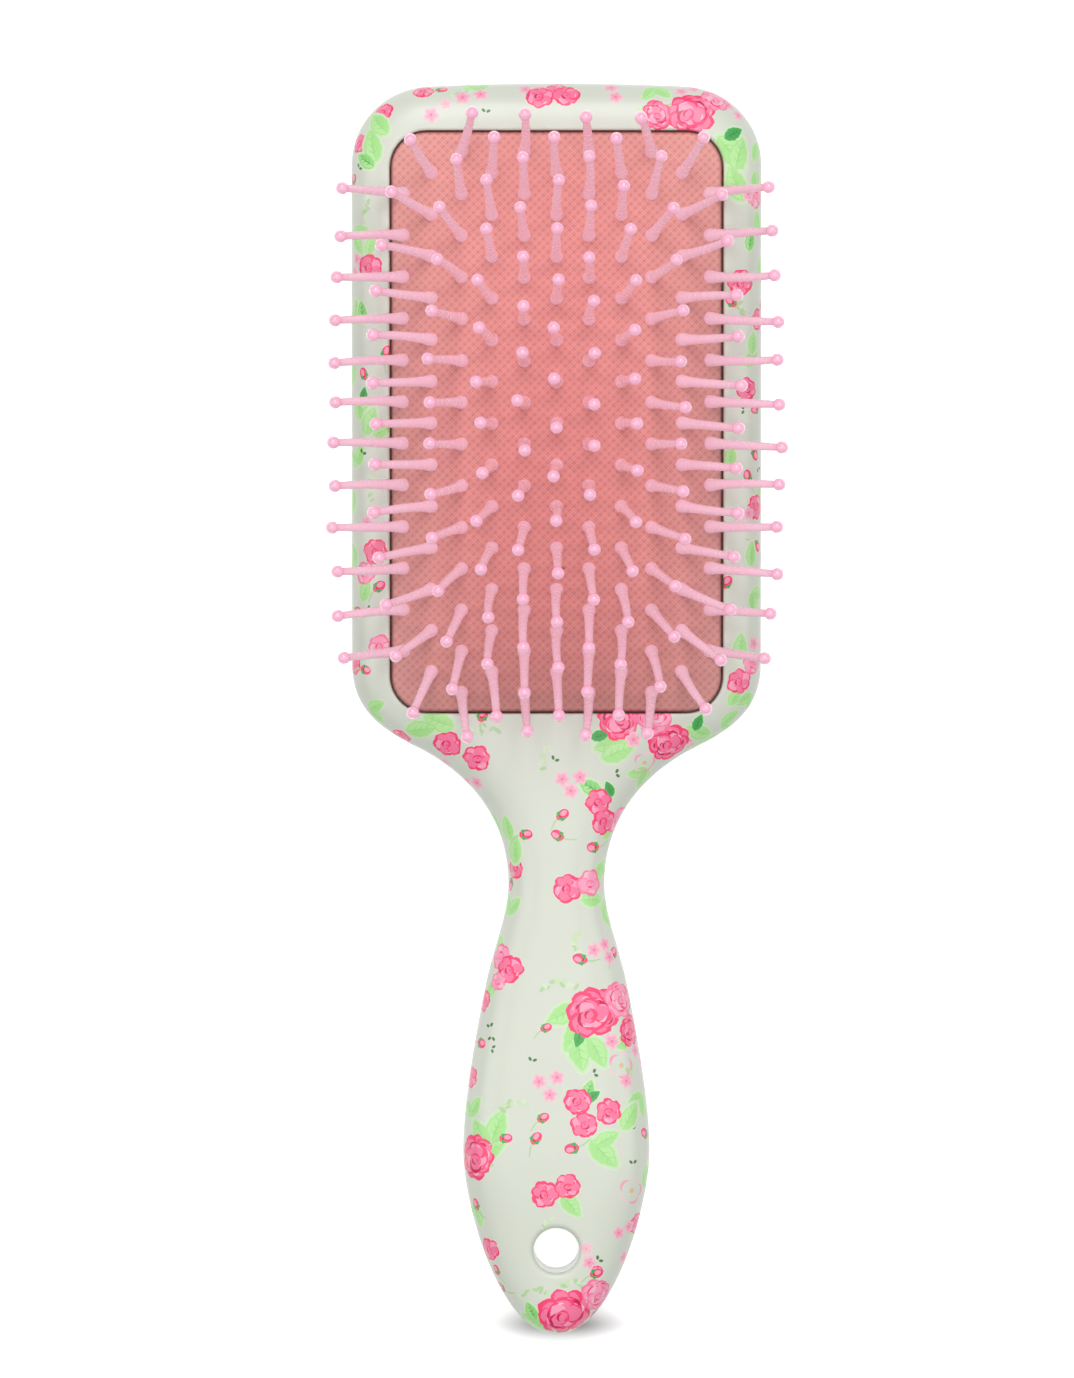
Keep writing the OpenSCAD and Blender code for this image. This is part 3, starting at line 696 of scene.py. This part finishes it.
def thin_out(points, edges, fixed, slack):
    """The same borders without the points that lie on a straight run, apart from the fixed ones."""
    near = {}
    for a, b in edges:
        near.setdefault(a, []).append(b)
        near.setdefault(b, []).append(a)
    for v in sorted(near):
        if len(near[v]) != 2 or v in fixed or near[v][1] in near[near[v][0]]:
            continue
        a, b = near[v]
        (ax, ay), (bx, by), (vx, vy) = points[a], points[b], points[v]
        length = hypot(bx - ax, by - ay)
        if length > 1e-6 and abs((bx - ax) * (vy - ay) - (by - ay) * (vx - ax)) / length < slack:
            near[a][near[a].index(v)] = b
            near[b][near[b].index(v)] = a
            near[v] = []
    return sorted({(min(a, b), max(a, b)) for a in near for b in near[a]})


def grid_points():
    """Loose points a little off a square grid over the whole shell."""
    pts = []
    for y in np.arange(-HALF_L + GRID_MARGIN, HALF_L - GRID_MARGIN, GRID_STEP):
        for x in np.arange(-GRID_HALF_W, GRID_HALF_W + 0.1, GRID_STEP):
            pts.append((x + 0.13 * sin(3.1 * y), y + 0.11 * sin(2.3 * x)))
    return pts


def roll_points(skin):
    """Loose points that make the triangles follow the rounded edges."""
    pts = []
    for turn in np.linspace(0, HALF_PI, 11)[:-1]:
        pts.extend([tuple(v) for v in skin.rim(turn)])
    if skin.window:
        lip = skin.WINDOW_LIP
        for depth in (0.0, lip * 0.4, lip * 0.8, lip * 1.2, lip * HALF_PI, lip * HALF_PI + 0.5):
            pts.extend(window_loop(lip - depth))
    lip = skin.HOLE_LIP
    for depth in np.linspace(-1.2, lip * HALF_PI, 8):
        pts.extend(circle(0, HANG_Y, HANG_R + lip - depth, HOLE_POINTS))
    return pts


def window_loop(off):
    """Points round the window, off mm outside its rim."""
    a, b, r = WINDOW_W / 2 + off, WINDOW_L / 2 + off, max(WINDOW_R + off, SMALLEST_R)
    n = max(5, int(r * HALF_PI / WINDOW_STEP))
    pts = []
    for corner, (sx, sy) in enumerate(((1, 1), (-1, 1), (-1, -1), (1, -1))):
        for k in range(n + 1):
            t = corner * HALF_PI + HALF_PI * k / n
            pts.append((sx * (a - r) + r * cos(t), sy * (b - r) + r * sin(t)))
    out = []
    for (x0, y0), (x1, y1) in zip(pts, pts[1:] + pts[:1]):
        m = max(1, int(round(hypot(x1 - x0, y1 - y0) / WINDOW_STEP)))
        out += [(x0 + (x1 - x0) * k / m, WINDOW_Y + y0 + (y1 - y0) * k / m) for k in range(m)]
    return out


def painted_plan(skin, shapes):
    """All the outlines on top of each other as one triangulation: points, triangles and their paints."""
    window_depth = WALL - skin.WINDOW_LIP * (2 - HALF_PI)
    hole_r = HANG_R + skin.HOLE_LIP * (1 - HALF_PI) - HOLE_TAIL
    loops = [([tuple(v) for v in skin.rim(HALF_PI)], "ivory")]
    if skin.window:
        loops.append((window_loop(-window_depth), "gone"))
    loops.append((circle(0, HANG_Y, hole_r, HOLE_POINTS), "gone"))
    loops += shapes
    verts, faces = [], []
    for pts, _ in loops:
        ids = list(range(len(verts), len(verts) + len(pts)))
        verts.extend(pts)
        faces.append(ids if signed_area(pts) > 0 else ids[::-1])
    flat = delaunay_2d_cdt([Vector(v) for v in verts], [], faces, 0, 1e-5, True)
    tones = [tone for _, tone in loops]

    def top_paint(origin):
        if 0 not in origin or any(tones[k] == "gone" for k in origin):
            return "gone"
        return tones[max(origin)]

    return [tuple(v) for v in flat[0]], flat[2], [top_paint(origin) for origin in flat[5]]


def build_shell(name, skin, shapes):
    """One shell's outside, the print as real faces, with the hanging hole's wall and a lip at the seam."""
    points, plan, paints = painted_plan(skin, shapes)
    lookup = BVHTree.FromPolygons([(x, y, 0.0) for x, y in points], plan, all_triangles=True)
    # only the borders that show are kept for the mesh
    borders = thin_out(points, *paint_borders(plan, paints), BORDER_SLACK)
    shown = sorted({v for e in borders for v in e})
    index = {old: new for new, old in enumerate(shown)}
    verts = [points[v] for v in shown] + roll_points(skin) + grid_points()
    borders = [(index[a], index[b]) for a, b in borders]
    out = delaunay_2d_cdt([Vector(v) for v in verts], borders, [], 0, 1e-5, True)
    q = np.array([(v[0], v[1]) for v in out[0]])
    tris, colours = [], []
    for f in out[2]:
        x, y = q[list(f)].mean(0)
        found = lookup.ray_cast((x, y, 1.0), (0, 0, -1.0))[2]
        if found is not None and paints[found] in PAINT:
            tris.append(f if skin.up > 0 else f[::-1])
            colours.append(PAINT[paints[found]])
    used = sorted({i for f in tris for i in f})
    index = {old: new for new, old in enumerate(used)}
    tris = [[index[i] for i in f] for f in tris]
    pos, nor = skin.place(q[used])
    pos, nor = list(map(tuple, pos)), list(map(tuple, nor))
    mouth = float(along(skin.surface, HANG_Y)) - skin.up * (skin.HOLE_LIP + HOLE_LAP)
    base = len(pos)
    for z in (mouth, skin.seam):
        for x, y in circle(0, 0, 1, HOLE_POINTS):
            pos.append((HANG_R * x, HANG_Y + HANG_R * y, z))
            nor.append((-x, -y, 0.0))
    band = ring_faces(base, HOLE_POINTS)
    tris += band if skin.up > 0 else [f[::-1] for f in band]
    # painted light: the hanging hole's wall is near white, lighter than the shell's ivory, against the
    # shade in the hole
    colours += [PAINT["lit_hole_wall"]] * HOLE_POINTS
    base = len(pos)
    k = np.arange(0, len(skin.p), RIM_STRIDE)
    for inset in (0.0, SEAM_LIP):
        for c, m in zip(skin.p[k], skin.n[k]):
            pos.append((c[0] - m[0] * inset, c[1] - m[1] * inset, skin.seam))
            nor.append((0.0, 0.0, -float(skin.up)))
    band = ring_faces(base, len(k))
    tris += [f[::-1] for f in band] if skin.up > 0 else band
    colours += [PAINT["ivory"]] * len(k)
    ob = make_mesh(name, pos, tris, nor)
    corners = [p.loop_total for p in ob.data.polygons]
    store_colours(ob, "print_colour", "CORNER", np.repeat(np.asarray(colours, float), corners, axis=0))
    return ob


# ---- materials

def new_material(name):
    """A material with its node tree and its main shader."""
    m = bpy.data.materials.new(name)
    m.use_nodes = True
    nt = m.node_tree
    return m, nt, nt.nodes["Principled BSDF"]


def put(n, **values):
    """Sets or links inputs of a node, with _ for a space in their names."""
    for k, v in values.items():
        socket = n.inputs[k.replace("_", " ")]
        if isinstance(v, bpy.types.NodeSocket):
            n.id_data.links.new(v, socket)
        else:
            socket.default_value = v


def node(nt, kind, **settings):
    n = nt.nodes.new("ShaderNode" + kind)
    for k, v in settings.items():
        setattr(n, k, v)
    return n


def mapped(nt, **settings):
    """A mapping node fed with the object's own coordinates."""
    m = node(nt, "Mapping", **settings)
    put(m, Vector=node(nt, "TexCoord").outputs["Object"])
    return m


def noise(nt, scale, detail):
    n = node(nt, "TexNoise")
    put(n, Vector=mapped(nt).outputs["Vector"], Scale=scale, Detail=detail)
    return n.outputs["Fac"]


def spread(nt, value, lo, hi):
    """The middle range of a texture's value stretched from lo to hi."""
    r = node(nt, "MapRange")
    put(r, Value=value, From_Min=0.25, From_Max=0.75, To_Min=lo, To_Max=hi)
    return r.outputs["Result"]


def tint(nt, colour, amount):
    """colour made lighter or darker by a value near 1."""
    grey = node(nt, "CombineColor")
    put(grey, Red=amount, Green=amount, Blue=amount)
    mix = node(nt, "Mix", data_type="RGBA", blend_type="MULTIPLY")
    put(mix, Factor=1.0, B=grey.outputs["Color"], A=(*colour, 1.0) if isinstance(colour, tuple) else colour)
    return mix.outputs["Result"]


def bump(nt, bsdf, height, strength, distance):
    b = node(nt, "Bump")
    put(b, Height=height, Strength=strength, Distance=distance)
    put(bsdf, Normal=b.outputs["Normal"])


def shell_material():
    """Glossy printed plastic in the colours painted on the faces."""
    m, nt, bsdf = new_material("printed_gloss_plastic")
    att = node(nt, "Attribute", attribute_name="print_colour")
    wash = spread(nt, noise(nt, 60.0, 2.0), 0.988, 1.010)
    put(bsdf, Base_Color=tint(nt, att.outputs["Color"], wash))
    put(bsdf, Roughness=spread(nt, noise(nt, 160.0, 3.0), 0.28, 0.34))
    put(bsdf, Specular_IOR_Level=0.42, Coat_Weight=0.12, Coat_Roughness=0.15)
    bump(nt, bsdf, noise(nt, 140.0, 1.0), 0.10, 0.00003)
    return m


def inner_material():
    m, nt, bsdf = new_material("moulded_inner_plastic")
    wash = spread(nt, noise(nt, 180.0, 4.0), 0.95, 1.04)
    put(bsdf, Base_Color=tint(nt, srgb(216, 210, 196), wash))
    put(bsdf, Roughness=spread(nt, noise(nt, 420.0, 5.0), 0.49, 0.63))
    bump(nt, bsdf, noise(nt, 2200.0, 3.0), 0.12, 0.0001)
    return m


def pin_material():
    """Slightly translucent plastic with a painted pink glow."""
    m, nt, bsdf = new_material("pin_plastic")
    att = node(nt, "Attribute", attribute_name="pin_colour")
    wash = spread(nt, noise(nt, 180.0, 2.0), 0.985, 1.015)
    put(bsdf, Base_Color=tint(nt, att.outputs["Color"], wash))
    put(bsdf, Roughness=spread(nt, noise(nt, 900.0, 4.0), 0.20, 0.32))
    put(bsdf, Subsurface_Weight=0.15, Subsurface_Radius=(1.0, 0.45, 0.6), Subsurface_Scale=0.0008)
    put(bsdf, Coat_Weight=1.0, Coat_Roughness=0.10)
    # painted glow: the pins give off a faint pink light of their own, standing in for the light that
    # translucent plastic passes on along its length
    put(bsdf, Emission_Color=(*srgb(245, 210, 228), 1.0), Emission_Strength=0.30)
    bump(nt, bsdf, noise(nt, 260.0, 0.0), 0.05, 0.00001)
    return m


THREAD = 0.47


def rubber_material():
    """Rubber with a cloth relief: two crossed sets of fine threads over the mesh's own lozenges."""
    m, nt, bsdf = new_material("cushion_rubber")
    # the rubber's colour with its painted light and shade
    att = node(nt, "Attribute", attribute_name="weave_and_shade_colour")
    put(bsdf, Roughness=spread(nt, noise(nt, 700.0, 4.0), 0.46, 0.62))
    threads = []
    for turn in (45, -45):
        place = mapped(nt)
        put(place, Rotation=(0, 0, radians(turn)))
        wave = node(nt, "TexWave", wave_type="BANDS", bands_direction="X", wave_profile="SIN")
        # the wave texture's own period at scale 1 is 2 pi / 20
        put(wave, Vector=place.outputs["Vector"], Scale=TURN / 20 / (THREAD * MM), Distortion=0.4)
        threads.append(wave.outputs["Fac"])
    both = node(nt, "Math", operation="MAXIMUM")
    for k in (0, 1):
        nt.links.new(threads[k], both.inputs[k])
    worn = tint(nt, att.outputs["Color"], spread(nt, noise(nt, 300.0, 4.0), 0.95, 1.04))
    cloth = tint(nt, worn, spread(nt, threads[1], 0.93, 1.06))
    put(bsdf, Base_Color=tint(nt, cloth, spread(nt, threads[0], 0.97, 1.02)))
    bump(nt, bsdf, both.outputs["Value"], 0.35, 0.00006)
    return m


# ---- build: shells

shell_mat = shell_material()
front_skin = Skin(FRONT_Z, SEAM_FRONT, 1, True)
back_skin = Skin(BACK_Z, SEAM_BACK, -1, False)
front = build_shell("front_shell_printed", front_skin, edge_print(front_skin, 41) + front_print())
front.data.materials.append(shell_mat)
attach(front, "body")
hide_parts("front_shell")
back = build_shell("back_shell_printed", back_skin, edge_print(back_skin, 47) + back_print())
back.data.materials.append(shell_mat)
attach(back, "body")
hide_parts("back_shell")

# ---- build: carrier

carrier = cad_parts["cushion_carrier"]
carrier.data.materials.clear()
carrier.data.materials.append(inner_material())

# ---- build: pins

PIN_NODES = sorted(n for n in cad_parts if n.startswith("pins_"))
TIP_BAND, FOOT_BAND = 0.25, 0.05


def loose_parts(me):
    """The points of each loose part of a mesh in mm, points closer than about 0.01 mm joined."""
    co = np.array([v.co for v in me.vertices])
    keys = {}
    rep = [keys.setdefault(tuple(np.round(c * 1e5).astype(int)), i) for i, c in enumerate(co)]
    parent = list(range(len(co)))

    def root(a):
        while parent[a] != a:
            parent[a] = parent[parent[a]]
            a = parent[a]
        return a

    for e in me.edges:
        a, b = root(rep[e.vertices[0]]), root(rep[e.vertices[1]])
        if a != b:
            parent[a] = b
    groups = {}
    for i in range(len(co)):
        groups.setdefault(root(rep[i]), []).append(i)
    return [co[g] / MM for g in groups.values()]


def pin_line(pts):
    """Foot, direction and length of one pin's axis, from all its points."""
    c = pts.mean(0)
    axis = np.linalg.svd(pts - c, full_matrices=False)[2][0]
    if axis[2] < 0:
        axis = -axis
    t = (pts - c) @ axis
    top = pts[t > t.max() - TIP_BAND].mean(0)
    low = pts[t < t.min() + FOOT_BAND].mean(0)
    axis = (top - low) / np.linalg.norm(top - low)
    t = (pts - low) @ axis
    return low, axis, float(t.max())


pins_found = {n: [pin_line(g) for g in loose_parts(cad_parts[n].data)] for n in PIN_NODES}

# ---- build: rubber cushion

CLEAR = 0.25
DOME_A, DOME_B, DOME_R = WINDOW_W / 2 - CLEAR, WINDOW_L / 2 - CLEAR, WINDOW_R - CLEAR
DOME_POWER = 3.46
EDGE_RISE = 1.6
EDGE_ROLL = 0.58
FLANGE_TOP = PADDLE_T - WALL - 0.05
DOME_H = float(mm_box("cushion")[1][2]) - FLANGE_TOP - EDGE_RISE
VENT = (1.0, -28.4, 0.55)
VENT_DEPTH = 1.4
WEAVE = 1.7
WEAVE_LIFT, WEAVE_PIT = 0.030, 0.05
WEAVE_FADE = 2.5
RUBBER_STEP = 0.29
RUBBER_MARGIN = 0.3
# how near the rims, in grid steps and in vent radii, grid points are moved onto them
SNAP_OUT, SNAP_IN = 0.75, 0.3
VENT_OUT, VENT_IN = 1.35, 0.55


def dome_z(x, y):
    across = 1 - np.minimum(1, np.abs(x) / DOME_A) ** DOME_POWER
    return DOME_H * across * (1 - np.minimum(1, np.abs(y) / DOME_B) ** 2)


def rubber_z(x, y):
    d, _, _ = rect_sdf(x, y, DOME_A, DOME_B, DOME_R)
    rise = EDGE_RISE * (1 - (1 - np.clip(-d / EDGE_ROLL, 0, 1)) ** 2)
    return FLANGE_TOP + rise + dome_z(x, y)


def build_cushion():
    """The visible rubber: a fine grid over the dome, snapped to its rim and to the vent's rim."""
    step = RUBBER_STEP
    nx, ny = int(2 * (DOME_A + 0.4) / step), int(2 * (DOME_B + 0.4) / step)
    xs = np.linspace(-DOME_A - RUBBER_MARGIN, DOME_A + RUBBER_MARGIN, nx)
    ys = np.linspace(-DOME_B - RUBBER_MARGIN, DOME_B + RUBBER_MARGIN, ny)
    gx, gy = np.meshgrid(xs, ys)
    x, y = gx.ravel(), gy.ravel()
    d, ox, oy = rect_sdf(x, y, DOME_A, DOME_B, DOME_R)
    keep = d < step * SNAP_OUT
    snap = (d > -step * SNAP_IN) & keep
    x = np.where(snap, x - ox * d, x)
    y = np.where(snap, y - oy * d, y)
    # ring of points on the vent's rim
    vx, vy, vr = VENT
    far = np.hypot(x - vx, y - vy)
    rimmed = (far > vr * VENT_IN) & (far < vr * VENT_OUT)
    x = np.where(rimmed, vx + (x - vx) * vr / np.maximum(far, 1e-6), x)
    y = np.where(rimmed, vy + (y - vy) * vr / np.maximum(far, 1e-6), y)
    hole = far <= vr * VENT_IN
    z = rubber_z(x, y)
    edge = np.clip(-d / WEAVE_FADE, 0, 1)
    # moulded cloth relief: raised and sunk lozenges
    lozenge = np.cos(TURN * x / WEAVE) * np.cos(TURN * y / WEAVE)
    pit = np.clip(-lozenge, 0, 1) ** 2
    z = z + edge * (WEAVE_LIFT * lozenge - WEAVE_PIT * pit)
    z = np.where(hole, z - VENT_DEPTH, z)
    idx = np.full(len(x), -1)
    idx[keep] = np.arange(keep.sum())
    grid = idx.reshape(ny, nx)
    corners = [grid[:-1, :-1], grid[:-1, 1:], grid[1:, 1:], grid[1:, :-1]]
    faces = np.stack([c.ravel() for c in corners], 1)
    faces = faces[(faces >= 0).all(1)]
    verts = np.stack([x, y + WINDOW_Y, z], 1)[keep]
    ob = make_mesh("cushion_woven", verts, faces.tolist())
    # painted light and shade: the rubber is lighter in the middle and at the head end, where the light
    # falls, and darker and browner towards the sides and the handle end
    side = 0.9 * (np.clip(np.abs(x) / DOME_A, 0, 1) ** 2.2)[keep][:, None]
    low = 0.9 * (np.clip(-y / DOME_B, 0, 1) ** 2.5)[keep][:, None]
    near = np.clip(y / DOME_B, 0, 1)[keep][:, None]
    middle, rim, tail, head = np.array([srgb(222, 136, 132), srgb(216, 152, 146),
                                        srgb(202, 138, 132), srgb(236, 160, 152)])
    base = middle * (1 - side) + rim * side
    base = base * (1 - low) + tail * low
    base = base * (1 - 0.35 * near) + head * 0.35 * near
    # painted shade in the weave's sunk pits and a painted highlight on its raised crowns
    dark = base * 0.58
    crown_highlight = base * 1.13
    w = (pit * 0.8)[keep][:, None]
    up = (np.clip(lozenge, 0, 1) ** 2 * 0.6)[keep][:, None]
    col = base * (1 - w) + dark * w
    col = col * (1 - up) + crown_highlight * up
    # painted shade: the vent hole is darkened almost to black
    col[hole[keep]] *= 0.15
    store_colours(ob, "weave_and_shade_colour", "POINT", col)
    return ob


cushion = build_cushion()
cushion.data.materials.append(rubber_material())
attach(cushion, "body")
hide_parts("cushion")
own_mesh(cushion)

# ---- build: visible pins

PIN_H, BALL_R = 18.0, 1.25
PIN_SEG = 20
MAX_BOW = 0.32
# ROOT is painted shade and painted pink light from the rubber at each pin's foot
SHANK, BALL, ROOT = np.array([srgb(213, 170, 185), srgb(216, 145, 172), srgb(206, 153, 167)])

# radius and height of the rows of points along a pin: foot and shank, then the ball
PIN_PROFILE = [(1.36, -0.9), (1.36, -0.1), (1.32, 0.5), (1.23, 1.1), (1.13, 1.8), (1.04, 2.7), (0.98, 4.0),
               (0.93, 6.0), (0.88, 8.5), (0.83, 11.5), (0.78, 14.0), (0.75, 16.0), (0.74, PIN_H - 1.08)]
PIN_PROFILE += [(BALL_R * sin(a), PIN_H - BALL_R * cos(a))
                for a in np.linspace(0.64, pi, 12)[:-1]]
BALL_TONE_H, BALL_TONE_BLEND = 15.6, 1.6
ROOT_TONE_H = 2.0


def pin_tone(h):
    """Colour at one height: the root's, the shank's, then the ball's. The root's darker, pinker tone is
    painted shade and painted pink light thrown back from the rubber.
    """
    tip = max(0.0, min(1.0, (h - BALL_TONE_H) / BALL_TONE_BLEND))
    low = max(0.0, 1 - max(h, 0) / ROOT_TONE_H)
    return SHANK * (1 - tip) * (1 - 0.5 * low) + BALL * tip + ROOT * (1 - tip) * 0.5 * low


def build_pins(lines, rnd):
    """Moulded pins along the CAD pins' axes: trumpet foot, slim and very slightly bowed shank, ball."""
    verts, faces, colours = [], [], []
    seg, rows = PIN_SEG, len(PIN_PROFILE)
    for low, axis, length in lines:
        ball_at = low + axis * (length - BALL_R)
        foot = ball_at - axis * PIN_H
        side = np.cross(axis, (0.0, 1.0, 0.2))
        side /= np.linalg.norm(side)
        other = np.cross(axis, side)
        bow = rnd.uniform(0.0, MAX_BOW)
        ang = rnd.uniform(0, TURN)
        bend = (side * cos(ang) + other * sin(ang)) * bow
        base = len(verts)
        for r, h in PIN_PROFILE:
            t = min(max(h / PIN_H, 0), 1)
            colours += [pin_tone(h)] * seg
            c = foot + axis * h + bend * sin(pi * t)
            for k in range(seg):
                a = TURN * k / seg
                verts.append(c + (side * cos(a) + other * sin(a)) * r)
        for j in range(rows - 1):
            faces += ring_faces(base + j * seg, seg)
        # one point closes each end
        low_end, top_end = len(verts), len(verts) + 1
        verts += [foot + axis * PIN_PROFILE[0][1], foot + axis * (PIN_H + BALL_R)]
        colours += [ROOT, BALL]
        top_row = base + (rows - 1) * seg
        for k in range(seg):
            faces.append([base + (k + 1) % seg, base + k, low_end])
            faces.append([top_row + k, top_row + (k + 1) % seg, top_end])
    return verts, faces, colours


pin_mat = pin_material()
pin_rnd = random.Random(5)
for name in PIN_NODES:
    points, faces, tone = build_pins(pins_found[name], pin_rnd)
    ob = make_mesh(name + "_moulded", points, faces)
    store_colours(ob, "pin_colour", "POINT", np.array(tone))
    ob.data.materials.append(pin_mat)
    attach(ob, name)
    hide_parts(name)

# ---- floor, light and camera

def floor_material():
    """A glowing pale floor with a soft grey patch of shade under the handle's tip."""
    m, nt, bsdf = new_material("pale_floor")
    place = mapped(nt, vector_type="TEXTURE")
    put(place, Location=(MM, (1 - HALF_L) * MM, 0), Scale=(0.030, 0.0062, 1))
    patch = node(nt, "TexGradient", gradient_type="QUADRATIC_SPHERE")
    put(patch, Vector=place.outputs["Vector"])
    shade = node(nt, "MapRange")
    put(shade, Value=patch.outputs["Fac"], To_Min=1.0, To_Max=0.0)
    light = shade.outputs["Result"]
    glow = node(nt, "Math", operation="MULTIPLY")
    nt.links.new(light, glow.inputs[0])
    glow.inputs[1].default_value = 0.58
    put(bsdf, Base_Color=tint(nt, (0.96, 0.96, 0.96), light), Roughness=0.9)
    put(bsdf, Emission_Color=(1, 1, 1, 1), Emission_Strength=glow.outputs["Value"])
    return m


FLOOR_GAP = 0.0002
me = bpy.data.meshes.new("floor")
corners = [(-6, -6, 0), (6, -6, 0), (6, 6, 0), (-6, 6, 0)]
me.from_pydata(corners, [], [(0, 1, 2, 3)])
floor = bpy.data.objects.new("floor", me)
floor.location.z = -FLOOR_GAP
me.materials.append(floor_material())
bpy.context.scene.collection.objects.link(floor)
floor.visible_diffuse = False


def area_light(name, pos, target, size, power):
    d = bpy.data.lights.new(name, "AREA")
    d.shape = "RECTANGLE"
    d.size, d.size_y = size
    d.energy = power
    ob = bpy.data.objects.new(name, d)
    ob.location = pos
    ob.rotation_euler = (Vector(target) - Vector(pos)).to_track_quat("-Z", "Y").to_euler()
    bpy.context.scene.collection.objects.link(ob)


area_light("key", (0.0, 1.05, 1.45), (0, 0.02, 0), (1.0, 0.8), 12)
area_light("top", (0.0, 0.1, 2.3), (0, 0, 0), (1.8, 1.8), 15.8)
area_light("fill", (1.1, -0.1, 1.0), (0, 0, 0), (0.7, 0.9), 3.5)
area_light("fill_left", (-1.1, -0.1, 1.0), (0, 0, 0), (0.7, 0.9), 4.0)

world = bpy.data.worlds.new("studio")
world.use_nodes = True
sky = world.node_tree.nodes["Background"]
put(sky, Color=(1, 1, 1, 1), Strength=0.35)
bpy.context.scene.world = world
bpy.context.scene.view_settings.view_transform = "Standard"

TILT = radians(3.0)
DIST = 2.0
AIM = Vector((-0.0038, 0.0045, 0.012))
cam_data = bpy.data.cameras.new("camera")
cam_data.lens = 267.7
cam_data.sensor_width = 36
cam_data.sensor_fit = "AUTO"
cam_data.clip_start = 0.05
cam_data.clip_end = 20
cam = bpy.data.objects.new("camera", cam_data)
cam.location = AIM + Vector((0, sin(TILT), cos(TILT))) * DIST
cam.rotation_euler = (-TILT, 0, 0)
bpy.context.scene.collection.objects.link(cam)
bpy.context.scene.camera = cam
